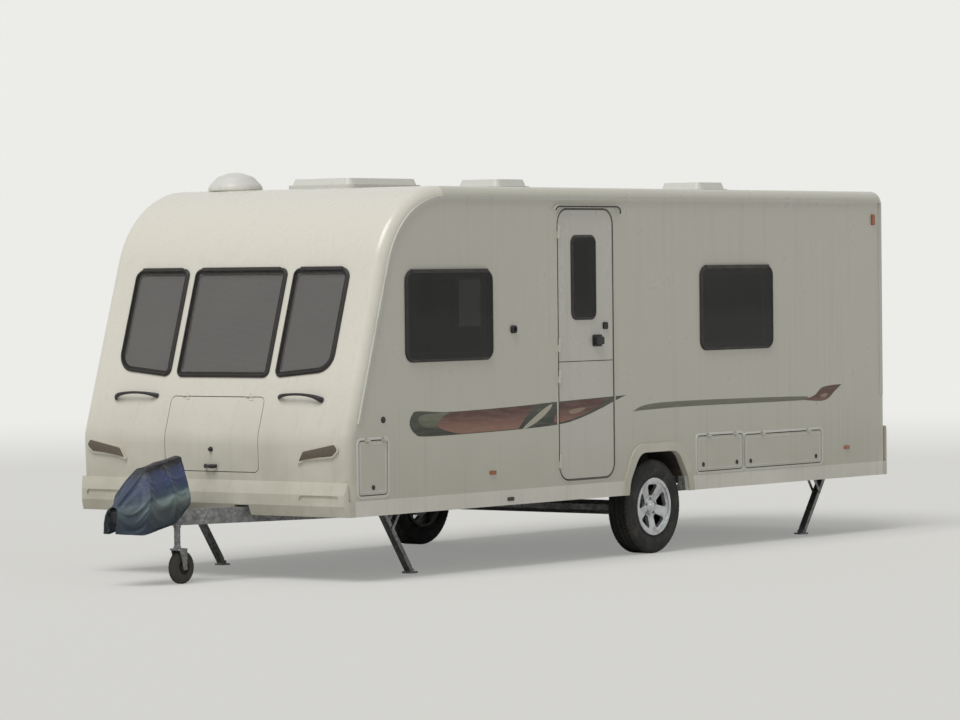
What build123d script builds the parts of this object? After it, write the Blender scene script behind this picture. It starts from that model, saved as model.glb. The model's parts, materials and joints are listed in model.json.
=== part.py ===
from build123d import *
import math
import os

# Travel caravan, single axle, parked on its wheels, jockey wheel and four corner steadies.
# Millimetres. +X points forward to the hitch, +Y to the entrance door's side, +Z up.
# The origin is on the ground, under the middle of the whole length.
# "Back" is a distance behind the front panel's foot, "ahead" one before it.

# Overall
HITCH_REACH = 985.0         # foot to the front of the hitch cover
BODY_LENGTH = 6300.0
REAR_REACH = 65.0           # rear bumper behind the rear wall
BODY_WIDTH = 2280.0
ROOF_TOP = 2520.0
FLOOR_UNDER = 520.0         # underside of the floor above the ground
WALL = 32.0                 # bonded wall, door and roof
FLOOR_THICK = 45.0

# Side profile of the body
KNEE_FORWARD = 18.0         # the knee stands this far before the foot
KNEE_HEIGHT = 916.0
KNEE_RADIUS = 260.0
SLOPE_FROM_UPRIGHT = 17.36  # degrees
ROOF_FRONT_RADIUS = 670.0
ROOF_REAR_RADIUS = 95.0
CORNER_RADIUS = 70.0        # rounded edge between the sides and the front, roof and rear
ROOF_JOINT_BACK = 990.0     # joint between front panel and roof

# Joints in the skin
PANEL_GAP = 5.0             # round doors and hatches
SEAT_GAP = 0.3              # between a moving or soft piece and its seat
PANE_THICK = 16.0
PANE_LAP = 26.0             # pane past its aperture

# Hinges: rise of the axis above the skin, knuckle radius, height, leaf width
HINGE_LEAF = 4.0
DOOR_HINGE = (12.0, 8.0, 90.0, 46.0)
HATCH_HINGE = (8.0, 5.0, 50.0, 22.0)
LID_HINGE = (8.0, 5.0, 60.0, 24.0)
LID_HINGE_PLACES = (-300.0, 240.0)

# Side windows: side, start back, end back, low, high, corner radius
SIDE_WINDOWS = [
    (1, 584, 1485, 1393, 1967, 62),
    (1, 3888, 4779, 1400, 1974, 62),
    (-1, 584, 1485, 1393, 1967, 62),
    (-1, 2160, 2960, 1500, 1974, 62),
    (-1, 3950, 4450, 1500, 1974, 62),
]

# Rear window
REAR_PANE_MIDDLE = 1700.0
REAR_PANE_WIDTH = 1180.0
REAR_PANE_HEIGHT = 560.0
REAR_PANE_RADIUS = 60.0

# Front windows, measured across from the centre plane
FRONT_PANES_LOW = 1304.0
FRONT_PANES_HIGH = 1988.0
CENTRE_PANE_HALF = 385.0
OUTER_PANE_NEAR = 455.0
OUTER_PANE_FAR = 905.0
OUTER_PANE_RISE = 45.0      # lower edge rises outwards
FRONT_PANE_RADIUS = 40.0
OUTER_PANE_LOW_RADIUS = 120.0
OUTER_PANE_HIGH_RADIUS = 60.0

# Entrance door
DOOR_START = 2224.0
DOOR_END = 2836.0
DOOR_LOW = 562.0
DOOR_SPLIT = 1350.0         # between the two leaves
DOOR_HIGH = 2368.0
DOOR_RADIUS = 95.0
DOOR_HINGE_INSET = 6.0
DOOR_PANE = (2374, 2640, 1638, 2190, 46)
DOOR_PANE_THICK = 10.0
DOOR_PANE_LAP = 14.0
DOOR_HINGES = (DOOR_LOW + 78, DOOR_SPLIT - 140, DOOR_SPLIT + 70, DOOR_HIGH - 188)

# Door furniture: start back, end back, low, high, corner radius, from the skin, to the skin
DOOR_FITTINGS = [
    (2604, 2708, 1446, 1526, 14, 0, 8),
    (2614, 2698, 1460, 1512, 10, 8, 34),
    (2724, 2772, 1561, 1609, 12, 0, 12),
]
DRIP_START, DRIP_END = 2176.0, 2914.0
DRIP_LOW, DRIP_HIGH = 2374.0, 2404.0
DRIP_THICK, DRIP_STAND, DRIP_RADIUS = 14.0, 22.0, 40.0

# Hatches of the left side: name, start back, end back, low, high
HATCHES = [
    ("hatch_front", 96, 380, 556, 897),
    ("hatch_bunk", 3836, 4392, 548, 790),
    ("hatch_long", 4426, 5410, 548, 779),
]
HATCH_GAP = 6.0
HATCH_THICK = 22.0
HATCH_RADIUS = 22.0

# Gas locker lid
LID_HALF = 400.0
LID_LOW = 690.0
LID_HIGH = 1175.0
LID_RADIUS = 40.0

# Wheels
WHEEL_BACK = 3361.0
TYRE_RADIUS = 325.0
TYRE_WIDTH = 185.0
WHEEL_OUTER_Y = 1108.0      # outer face of the tyre
RIM_RADIUS = 190.0
RIM_LIP = 12.0
BEAD = 75.0                 # half width between the beads
SEAT = 184.0                # radius of the tyre's seat
SPOKES = 5
SPOKE_WINDOW_INNER = (76.0, 12.0, 9.0)   # radius, half angle in degrees, corner radius
SPOKE_WINDOW_OUTER = (166.0, 23.0, 16.0)
SPINDLE_RADIUS = 20.0
RUNNING_FIT = 0.08          # radial clearance of a turning shaft

# Wheel arches
ARCH_FOOT_HALF = 352.0
ARCH_TOP_HALF = 225.0
ARCH_TOP = 705.0
ARCH_RADIUS = 120.0
ARCH_SIDE_RADIUS = 200.0
ARCH_BAND = 62.0            # moulding round the arch
ARCH_BAND_THICK = 14.0
BOX_INNER_Y = 872.0
BOX_SKIN = 10.0

# Chassis
RAIL_Y = 560.0
RAIL_DEPTH = 150.0
RAIL_FLANGE = 45.0
RAIL_STEEL = 6.0
RAIL_FRONT_BACK = 850.0     # knee between rail and drawbar
RAIL_REAR_BACK = BODY_LENGTH - 120
RAIL_HOLES = 9
RAIL_HOLE_RADIUS = 38.0
RAIL_HOLE_FIRST = 420.0     # behind the knee
RAIL_HOLE_PITCH = 520.0
DRAWBAR_TIP = 520.0
DRAWBAR_TIP_Y = 86.0
DRAWBAR_DEPTH = 100.0
MEMBERS_BACK = (RAIL_FRONT_BACK + 55, 2250.0, 4700.0, RAIL_REAR_BACK - 60)
MEMBER_SIZE = 50.0
MEMBER_STEEL = 4.0
MEMBER_DROP = 60.0          # under the floor

# Axle
AXLE_AHEAD = 165.0          # axle tube ahead of the wheel centre
AXLE_ACROSS_FLATS = 96.0
ARM_INNER_Y = 868.0
ARM_THICK = 38.0
ARM_AXLE_RADIUS = 58.0
ARM_WHEEL_RADIUS = 44.0
ARM_DEPTH = 80.0
STUB_RADIUS = 40.0
BACKPLATE_Y = 958.0
BACKPLATE_THICK = 6.0
MOUNTING_Y = 1040.0         # face of the drum that the rim bolts to
DRUM_RADIUS = 115.0

# Skirts and bumpers
SKIRT_LOW = 420.0
SKIRT_THICK = 24.0
BUMPER_FRONT = [(-60, SKIRT_LOW), (2, SKIRT_LOW), (34, 490), (34, 560), (10, 640), (-60, 640)]
BUMPER_FRONT_HOLLOW = [(-61, SKIRT_LOW - 1), (-20, SKIRT_LOW - 1), (14, 494), (14, FLOOR_UNDER),
                       (-61, FLOOR_UNDER)]
BUMPER_REAR = [(60, SKIRT_LOW), (-38, SKIRT_LOW), (-REAR_REACH, 470), (-REAR_REACH, 640), (0, 780), (60, 780)]
BUMPER_REAR_HOLLOW = [(61, SKIRT_LOW - 1), (-16, SKIRT_LOW - 1), (-43, 474), (-43, FLOOR_UNDER),
                      (61, FLOOR_UNDER)]
BUMPER_NOTCH = 60.0         # half width round each drawbar arm
RECESS_NEAR, RECESS_FAR = 390.0, 66.0    # inwards from the side
RECESS_LOW, RECESS_HIGH = 508.0, 556.0
RECESS_DEPTH = 10.0

# Coupling
BALL_AHEAD = HITCH_REACH - 95
BALL_HEIGHT = 430.0
BALL_RADIUS = 25.0
SOCKET_CLEARANCE = 0.3
HEAD_HALF = 42.0
HEAD_LENGTH = 215.0         # behind the ball
GRIP_HALF = 24.0
SHAFT_HEIGHT = 465.0
SHAFT_RADIUS = 25.0
UNIT_START, UNIT_END = 330.0, 560.0      # ahead
UNIT_RADIUS = 38.0
UNIT_PLATE_HALF = 88.0
UNIT_PLATE_THICK = 8.0
GAITER_RIBS = 6
GAITER_PITCH = 18.0
GAITER_RADIUS = 34.0

# Handbrake lever, raised: plate in the side view, ahead and height
LEVER_Y = -51.0
LEVER_THICK = 10.0
LEVER_PLATE = [(455, 484), (491, 484), (412, 738), (388, 738)]
LEVER_GRIP = ((424, 640), (398, 750))
LEVER_GRIP_RADIUS = 15.0
LEVER_BRACKET = (442, 510, 58, 8)        # start ahead, end ahead, height, thickness

# Hitch cover. Side view: ahead, height, corner radius, from the back over the top to the hem
COVER_SKIN = 6.0
COVER_BELOW = 150.0         # the room inside is cut down to this height
COVER_BACK = (430, 512, 0)
COVER_OVER = [(350, 806, 30), (680, 742, 120), (HITCH_REACH - 37, 512, 80)]
COVER_HEM = [(HITCH_REACH, 346, 12), (758, 329, 60), (560, 395, 60)]
# Plan: ahead, half width, corner radius
COVER_PLAN = [(300, 196, 0), (815, 150, 12), (HITCH_REACH + 4, 52, 30)]
# End view: half width, height, corner radius
COVER_END = [(176, 100, 0), (176, 560, 90), (40, 812, 30)]

# Jockey wheel
JOCKEY_AHEAD = 500.0
JOCKEY_OFFSET = 36.0        # stem beside the drawbar's web
JOCKEY_WHEEL_RADIUS = 105.0
JOCKEY_WHEEL_WIDTH = 56.0
JOCKEY_TRAIL = 34.0
JOCKEY_TUBE_RADIUS = 24.0
JOCKEY_STEM_RADIUS = 20.0
JOCKEY_LIFT = 110.0
JOCKEY_TOP = 548.0
JOCKEY_CROWN = 16.0         # fork above the wheel
JOCKEY_COLLAR = 14.0
JOCKEY_PIVOT_RADIUS = 8.0
JOCKEY_PIVOT_LENGTH = 56.0
JOCKEY_AXLE_RADIUS = 7.0
JOCKEY_CRANK = 92.0

# Steadies
STEADY_Y = 810.0
STEADY_PIVOT_HEIGHT = 468.0
STEADY_LEG = 560.0          # pivot to foot along the leg
STEADY_LINK = 200.0         # pivot to stay pin, and the stay's own length
STEADY_FRONT_BACK = 690.0
STEADY_REAR_BACK = BODY_LENGTH - 340
STEADIES = [
    ("front_left", STEADY_FRONT_BACK, -1, 1),
    ("front_right", STEADY_FRONT_BACK, -1, -1),
    ("rear_left", STEADY_REAR_BACK, 1, 1),
    ("rear_right", STEADY_REAR_BACK, 1, -1),
]
PAD_THICK = 10.0
PAD_RADIUS = 52.0
LEG_HALF = 25.0
LEG_STEEL = 4.0
EAR_GAP = 1.0
EAR_THICK = 6.0
STAY_STEEL = 5.0
STAY_DEPTH = 22.0
PIN_RADIUS = 6.0
SCREW_RADIUS = 8.0
SCREW_AHEAD, SCREW_BEYOND = 78.0, 458.0
BRACKET_HALF = 36.0
BRACKET_LENGTH = 470.0

# Front lamps, wing-shaped: inwards from the side, height, corner radius
LAMP_WING = [(418, 750, 6), (364, 842, 26), (94, 893, 26), (60, 846, 24), (114, 799, 30), (338, 780, 30)]
LAMP_STAND = 14.0

# Grab handles
FRONT_GRIP_HEIGHT = 1172.0
FRONT_GRIP_Y = 702.0
FRONT_GRIP_LENGTH = 380.0
REAR_GRIP_Y = 960.0
REAR_GRIP_LOW, REAR_GRIP_HIGH = 1060.0, 1380.0
GRIP_WIDTH = 26.0
GRIP_STAND = 40.0
GRIP_ROOM = 24.0
RETAINER = (1690, 1746, 1552, 1604, 8)   # holds the open door
RETAINER_STAND = 20.0

# Awning rails
AWNING_WIDTH = 18.0
AWNING_STAND = 13.0
AWNING_FOOT = 1010.0

# Rear lamps
REAR_LAMP_Y = 985.0
REAR_LAMP_MIDDLE = 905.0
REAR_LAMP_WIDTH = 130.0
REAR_LAMP_HEIGHT = 230.0
REAR_LAMP_STAND = 26.0
HIGH_LAMP_MIDDLE = 2290.0
HIGH_LAMP_WIDTH = 420.0

# Side markers, low amber ones by their middles, and the high ones near the rear
MARKERS_BACK = (1480.0, 5750.0)
MARKER_HALF = 32.0
MARKER_LOW, MARKER_HIGH = 628.0, 654.0
MARKER_STAND = 9.0
HIGH_MARKER = (BODY_LENGTH - 190, BODY_LENGTH - 154, 2270, 2350, 8)
HIGH_MARKER_STAND = 14.0

# Fittings of the right side: start back, end back, low, high, corner radius, stand
OFFSIDE_PLATES = [
    (4700, 4860, 640, 800, 20, 14),
    (2500, 2640, 640, 780, 20, 14),
    (5200, 5580, 620, 980, 24, 10),
]
VENT_START, VENT_LENGTH, VENT_HEIGHT = 3050.0, 440.0, 210.0
VENTS_LOW = (900.0, 1500.0)
VENT_STAND = 12.0
VENT_SLOTS = 6
VENT_SLOT_PITCH = 26.0
VENT_SLOT_HEIGHT = 12.0
VENT_SLOT_DEPTH = 7.0

# Roof: middle back, length, width, height of each rooflight
ROOFLIGHTS = [
    (1480, 780, 560, 70),
    (3000, 400, 400, 80),
    (5450, 400, 400, 80),
]
AERIAL_BACK = 1090.0
AERIAL_FROM_SIDE = 420.0    # inwards from the right side
AERIAL_SECTION = [(0, 0, 0), (185, 0, 10), (180, 34, 60), (120, 96, 60), (40, 122, 30), (0, 124, 0)]

# Furniture
SEAT_BASE = 330.0
SEAT_PAD = 140.0
SEAT_DEPTH = 620.0
SEATS_BACK = (440.0, 2080.0)
BUNK_BACK = (3730.0, 4840.0)
BUNK_DEPTH = 760.0
KITCHEN_BACK = (2120.0, 2980.0)
KITCHEN_DEPTH = 560.0
KITCHEN_HIGH = 1440.0
SHELF_HIGH = 1210.0
SHELF_FRONT_BACK = 40.0
BOARD = 20.0
BULKHEAD_BACK = 436.0
REAR_WALL_BACK = (4852.0, 4880.0)
REAR_WALL_DOOR = (-560.0, 60.0, 2300.0)  # from y, to y, height

# Places that follow from these
OVERALL = HITCH_REACH + BODY_LENGTH + REAR_REACH
FRONT_X = OVERALL / 2 - HITCH_REACH
REAR_X = FRONT_X - BODY_LENGTH
SIDE_Y = BODY_WIDTH / 2
INNER_Y = SIDE_Y - WALL
FLOOR_TOP = FLOOR_UNDER + FLOOR_THICK
WHEEL_X = FRONT_X - WHEEL_BACK
WHEEL_Y = WHEEL_OUTER_Y - TYRE_WIDTH / 2
AXLE_X = WHEEL_X + AXLE_AHEAD
AXLE_Z = FLOOR_UNDER - RAIL_DEPTH - AXLE_ACROSS_FLATS / 2
RAIL_LOW = FLOOR_UNDER - RAIL_DEPTH
DRAWBAR_TOP = RAIL_LOW + DRAWBAR_DEPTH
SLOPE = math.radians(SLOPE_FROM_UPRIGHT)
KNEE_X = FRONT_X + KNEE_FORWARD
SLOPE_TOP_X = KNEE_X - (ROOF_TOP - KNEE_HEIGHT) * math.tan(SLOPE)
DOWN_ANGLE = math.asin((STEADY_PIVOT_HEIGHT - PAD_THICK) / STEADY_LEG)
SIDES = (("left", 1), ("right", -1))
FAR = 3000.0                # past every face of the body

REAR_PLANE = Plane(origin=(REAR_X, 0, 0), x_dir=(0, -1, 0), z_dir=(-1, 0, 0))
SIDE_VIEW = Plane(origin=(0, 0, 0), x_dir=(1, 0, 0), z_dir=(0, -1, 0))

os.makedirs("parts", exist_ok=True)
PARTS = {}


def slope_x(height):
    """Forward place of the front panel's flat slope at a height."""
    return KNEE_X - (height - KNEE_HEIGHT) * math.tan(SLOPE)


def across(outline, half_width):
    """Extrude a side-view outline over the whole width. Its x is +X and its y is +Z."""
    return extrude(SIDE_VIEW * outline, half_width, both=True)


def outward(outline, y_from, y_to, side=1):
    """Extrude a side-view outline between two distances from the centre plane, on one side."""
    solid = extrude(Plane(origin=(0, y_from, 0), x_dir=(1, 0, 0), z_dir=(0, -1, 0)) * outline, y_from - y_to)
    return solid if side > 0 else mirror(solid, about=Plane.XZ)


def through(outline, side=1):
    """Cutter through the wall of one side."""
    return outward(outline, BOX_INNER_Y + 28, SIDE_Y + 160, side)


def block(x_range, y_range, z_range):
    """Box between two corners."""
    (x0, x1), (y0, y1), (z0, z1) = x_range, y_range, z_range
    return Pos((x0 + x1) / 2, (y0 + y1) / 2, (z0 + z1) / 2) * Box(x1 - x0, y1 - y0, z1 - z0)


def shape_of(corners, place=None):
    """Face from corners with a radius each. A place function turns each pair into plane coordinates."""
    points = [(first, second) if place is None else place(first, second) for first, second, radius in corners]
    radii = [radius for first, second, radius in corners]
    return make_face(FilletPolyline(*points, radius=radii, close=True))


def ahead(distance, height):
    """Side-view place by its distance ahead of the foot."""
    return FRONT_X + distance, height


def rounded(start_back, end_back, low, high, radius, grow=0.0):
    """Rounded rectangle in the side view, placed by distances behind the foot."""
    width = end_back - start_back + 2 * grow
    height = high - low + 2 * grow
    middle = Pos(FRONT_X - (start_back + end_back) / 2, (low + high) / 2)
    return middle * RectangleRounded(width, height, radius + grow)


def rod(start, end, radius):
    """Round bar between two points."""
    start, end = Vector(*start), Vector(*end)
    return Solid.make_cylinder(radius, (end - start).length, Plane(origin=start, z_dir=(end - start)))


def hinge(place, sizes):
    """Fixed and moving halves of a lift-off hinge about the place's z axis.

    The place's x points to the fixed side and its y outwards, the axis above the surface.
    """
    rise, knuckle, height, leaf = sizes
    split = height / 2
    pin = knuckle / 2
    fixed = Pos(0, 0, split / 2) * Cylinder(knuckle, split)
    fixed += Pos(knuckle / 2, -rise / 2, split / 2) * Box(knuckle, rise, split)
    fixed += Pos(leaf / 2, HINGE_LEAF / 2 - rise, split / 2) * Box(leaf, HINGE_LEAF, split)
    fixed += Pos(0, 0, height / 2) * Cylinder(pin, height - 2)
    upper = height - split - SEAT_GAP
    level = split + SEAT_GAP + upper / 2
    moving = Pos(0, 0, level) * Cylinder(knuckle, upper)
    moving += Pos(-knuckle / 2, -rise / 2, level) * Box(knuckle, rise, upper)
    moving += Pos(-leaf / 2, HINGE_LEAF / 2 - rise, level) * Box(leaf, HINGE_LEAF, upper)
    moving -= Pos(0, 0, level) * Cylinder(pin + RUNNING_FIT, upper + 2)
    return place * fixed, place * moving


def body_outline(bottom):
    """Side profile of the body: foot, knee, straight slope, roof arc, roof and rear wall."""
    foot_x = FRONT_X + KNEE_FORWARD * (bottom - SKIRT_LOW) / (KNEE_HEIGHT - SKIRT_LOW)
    return shape_of([
        (foot_x, bottom, 0),
        (KNEE_X, KNEE_HEIGHT, KNEE_RADIUS),
        (SLOPE_TOP_X, ROOF_TOP, ROOF_FRONT_RADIUS),
        (REAR_X, ROOF_TOP, ROOF_REAR_RADIUS),
        (REAR_X, bottom, 0),
    ])


def inner_outline(bottom, inset):
    """The same profile moved inwards by one distance."""
    return offset(body_outline(bottom), amount=-inset, kind=Kind.INTERSECTION)


def rounded_body(outline, half_width, radius, bottom):
    """Outline over the whole width, its long edges rounded from foot to foot."""
    solid = across(outline, half_width)
    long_edges = [
        edge for edge in solid.edges()
        if abs(abs(edge.center().Y) - half_width) < 0.01 and edge.center().Z > bottom + 1
    ]
    return fillet(long_edges, radius)


def cabin_room():
    """Room between the inner faces of the walls and roof."""
    low = FLOOR_UNDER - 100
    return rounded_body(inner_outline(low, WALL), INNER_Y, CORNER_RADIUS - WALL, low + 40)


def arch_outline(grow=0.0):
    """Wheel arch opening seen from the side, open at the bottom."""
    foot, top = ARCH_FOOT_HALF + grow, ARCH_TOP_HALF + grow
    low = SKIRT_LOW - 90
    return shape_of([
        (WHEEL_X - foot - 22, low, 0),
        (WHEEL_X - foot + 8, FLOOR_UNDER, ARCH_SIDE_RADIUS),
        (WHEEL_X - top, ARCH_TOP + grow, ARCH_RADIUS + grow),
        (WHEEL_X + top, ARCH_TOP + grow, ARCH_RADIUS + grow),
        (WHEEL_X + foot - 8, FLOOR_UNDER, ARCH_SIDE_RADIUS),
        (WHEEL_X + foot + 22, low, 0),
    ])


def front_plane(height=KNEE_HEIGHT):
    """Plane on the front panel's slope: x along +Y, y up the slope."""
    normal = (math.cos(SLOPE), 0, math.sin(SLOPE))
    return Plane(origin=(slope_x(height), 0, height), x_dir=(0, 1, 0), z_dir=normal)


def slope_run(height):
    """Distance up the slope from the knee."""
    return (height - KNEE_HEIGHT) / math.cos(SLOPE)


def front_pane_outlines(shrink=0.0):
    """Centre pane, then the two outer ones, whose lower edges rise outwards."""
    low, high = slope_run(FRONT_PANES_LOW) + shrink, slope_run(FRONT_PANES_HIGH) - shrink
    near, far = OUTER_PANE_NEAR + shrink, OUTER_PANE_FAR - shrink
    small = FRONT_PANE_RADIUS - shrink / 2
    centre = Pos(0, (low + high) / 2) * RectangleRounded(2 * (CENTRE_PANE_HALF - shrink), high - low, small)
    outer = shape_of([
        (near, low, small),
        (far, low + OUTER_PANE_RISE, OUTER_PANE_LOW_RADIUS - shrink),
        (far, high, OUTER_PANE_HIGH_RADIUS - shrink),
        (near, high, small),
    ])
    return [centre, outer, mirror(outer, about=Plane.YZ)]


def build_shell():
    """Walls, roof, front and rear panels, split where the real panels meet."""
    bottom = FLOOR_UNDER - CORNER_RADIUS - 60
    outer = rounded_body(body_outline(bottom), SIDE_Y, CORNER_RADIUS, bottom)
    cavity_bottom = bottom - WALL - 40
    inner = inner_outline(cavity_bottom, WALL)
    cavity = rounded_body(inner, INNER_Y, CORNER_RADIUS - WALL, cavity_bottom + WALL)
    tall = (FLOOR_UNDER, ROOF_TOP + 50)
    wide = (-SIDE_Y - 50, SIDE_Y + 50)
    shell = (outer - cavity) & block((REAR_X - 50, FRONT_X + 200), wide, tall)
    zone = across(inner_outline(bottom, CORNER_RADIUS), SIDE_Y + 20)
    flats = shell & zone
    skin = shell - zone
    joint_x = FRONT_X - ROOF_JOINT_BACK
    rear_x = REAR_X + CORNER_RADIUS
    panels = {
        "front_panel": skin & block((joint_x, FRONT_X + 200), wide, tall),
        "roof_panel": skin & block((rear_x, joint_x), wide, (ROOF_TOP - 400, ROOF_TOP + 50)),
        "rear_panel": skin & block((REAR_X - 50, rear_x), wide, tall),
    }
    walls = {side: flats & block((REAR_X, FRONT_X), sorted((0, sign * FAR)), tall) for side, sign in SIDES}
    return panels, walls


def door_hinge_halves(height):
    """Fixed and moving half of one door hinge."""
    place = Pos(FRONT_X - DOOR_START + DOOR_HINGE_INSET, SIDE_Y + DOOR_HINGE[0], height)
    return hinge(place, DOOR_HINGE)


def build_walls(walls):
    """Side walls with their apertures, hatches and the fixed hinge halves."""
    for side, sign in SIDES:
        wall = walls[side] - through(arch_outline(), sign)
        for pane_side, start, end, low, high, radius in SIDE_WINDOWS:
            if pane_side == sign:
                wall -= through(rounded(start, end, low, high, radius, -PANE_LAP), sign)
        walls[side] = wall
    left = walls["left"] - through(rounded(DOOR_START, DOOR_END, DOOR_LOW, DOOR_HIGH, DOOR_RADIUS, PANEL_GAP))
    for name, start, end, low, high in HATCHES:
        left -= through(rounded(start, end, low, high, HATCH_RADIUS, HATCH_GAP))
        hatch = outward(rounded(start, end, low, high, HATCH_RADIUS), SIDE_Y - HATCH_THICK, SIDE_Y)
        for share in (0.2, 0.8):
            back = start + share * (end - start)
            axis = (FRONT_X - back, SIDE_Y + HATCH_HINGE[0], high + HATCH_GAP / 2)
            fixed, moving = hinge(Plane(origin=axis, x_dir=(0, 0, 1), z_dir=(-1, 0, 0)).location, HATCH_HINGE)
            left += fixed
            hatch += moving
        PARTS[name] = hatch
    for height in DOOR_HINGES:
        left += door_hinge_halves(height)[0]
    PARTS["side_wall_left"] = left
    PARTS["side_wall_right"] = walls["right"]


def build_front(front):
    """Front panel with its window apertures, and the gas locker lid cut out of it."""
    reach = (FRONT_X - 400, FRONT_X + 200)
    lid_hole = block(reach, (-LID_HALF, LID_HALF), (LID_LOW, LID_HIGH))
    lid_hole = fillet(lid_hole.edges().filter_by(Axis.X), LID_RADIUS)
    half = LID_HALF - PANEL_GAP
    lid_body = block(reach, (-half, half), (LID_LOW + PANEL_GAP, LID_HIGH - PANEL_GAP))
    lid_body = fillet(lid_body.edges().filter_by(Axis.X), LID_RADIUS - PANEL_GAP)
    lid = front & lid_body
    front -= lid_hole
    top = front_plane(LID_HIGH)
    for y in LID_HINGE_PLACES:
        axis = top.origin + top.z_dir * LID_HINGE[0] + Vector(0, y, 0)
        fixed, moving = hinge(Plane(origin=axis, x_dir=top.y_dir, z_dir=(0, 1, 0)).location, LID_HINGE)
        front += fixed
        lid += moving
    PARTS["locker_lid"] = lid
    plane = front_plane()
    for face in front_pane_outlines(PANE_LAP):
        front -= extrude(plane * face, WALL + 20, both=True)
    PARTS["front_panel"] = front
    PARTS["front_windows"] = Compound([extrude(plane * face, PANE_THICK) for face in front_pane_outlines()])


def rear_pane_outline(shrink=0.0):
    """Rear window in the rear view."""
    width, height = REAR_PANE_WIDTH - 2 * shrink, REAR_PANE_HEIGHT - 2 * shrink
    return Pos(0, REAR_PANE_MIDDLE) * RectangleRounded(width, height, REAR_PANE_RADIUS - shrink)


def build_body():
    """Shell with its apertures, and what closes them."""
    panels, walls = build_shell()
    build_walls(walls)
    build_front(panels["front_panel"])
    rear_hole = extrude(REAR_PLANE * rear_pane_outline(PANE_LAP), WALL + 20, both=True)
    PARTS["rear_panel"] = panels["rear_panel"] - rear_hole
    PARTS["roof_panel"] = panels["roof_panel"]
    panes = [outward(rounded(start, end, low, high, radius), SIDE_Y, SIDE_Y + PANE_THICK, sign)
             for sign, start, end, low, high, radius in SIDE_WINDOWS]
    panes.append(extrude(REAR_PLANE * rear_pane_outline(), PANE_THICK))
    PARTS["cabin_windows"] = Compound(panes)

    floor_plan = RectangleRounded(BODY_LENGTH - 2 * WALL, 2 * INNER_Y, CORNER_RADIUS - WALL)
    floor = Pos((FRONT_X + REAR_X) / 2, 0, FLOOR_UNDER) * extrude(floor_plan, FLOOR_THICK)
    for side, sign in SIDES:
        floor -= outward(arch_outline(), BOX_INNER_Y, SIDE_Y + 160, sign)
    PARTS["floor_panel"] = floor


def near_wheels(low, high):
    """Space round the two wheels between two heights."""
    return block((WHEEL_X - 900, WHEEL_X + 900), (-FAR, FAR), (low, high))


def build_wheel_boxes():
    """Closed boxes over the wheels, inside the cabin."""
    boxes = []
    for side, sign in SIDES:
        hood = outward(arch_outline(BOX_SKIN), BOX_INNER_Y - BOX_SKIN, INNER_Y, sign)
        hood -= outward(arch_outline(), BOX_INNER_Y, SIDE_Y, sign)
        boxes.append(hood & near_wheels(FLOOR_TOP, ARCH_TOP + 100))
    PARTS["wheel_boxes"] = Compound(boxes)


def build_doors():
    """Two-part entrance door with its window, handle and lock."""
    whole = outward(rounded(DOOR_START, DOOR_END, DOOR_LOW, DOOR_HIGH, DOOR_RADIUS), INNER_Y, SIDE_Y)
    half_gap = PANEL_GAP / 2
    leaves = {
        "door_upper": whole & block((REAR_X, FRONT_X), (0, FAR), (DOOR_SPLIT + half_gap, FAR)),
        "door_lower": whole & block((REAR_X, FRONT_X), (0, FAR), (0, DOOR_SPLIT - half_gap)),
    }
    leaves["door_upper"] -= through(rounded(*DOOR_PANE, -DOOR_PANE_LAP))
    for height in DOOR_HINGES:
        name = "door_upper" if height > DOOR_SPLIT else "door_lower"
        leaves[name] += door_hinge_halves(height)[1]
    PARTS.update(leaves)
    PARTS["door_window"] = outward(rounded(*DOOR_PANE), SIDE_Y, SIDE_Y + DOOR_PANE_THICK)
    fittings = [outward(rounded(start, end, low, high, radius), SIDE_Y + inner, SIDE_Y + outer)
                for start, end, low, high, radius, inner, outer in DOOR_FITTINGS]
    PARTS["door_handle"] = fittings[0] + fittings[1] + fittings[2]


def bumper_piece(foot_x, line, hollow, plan):
    """Moulding over the whole width from its section and the section of its hollow."""
    solid = across(make_face(Polyline(*[(foot_x + x, z) for x, z in line], close=True)), SIDE_Y)
    solid -= across(body_outline(FLOOR_UNDER), SIDE_Y)
    room = make_face(Polyline(*[(foot_x + x, z) for x, z in hollow], close=True))
    return (solid - across(room, SIDE_Y - SKIRT_THICK)) & plan


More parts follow.
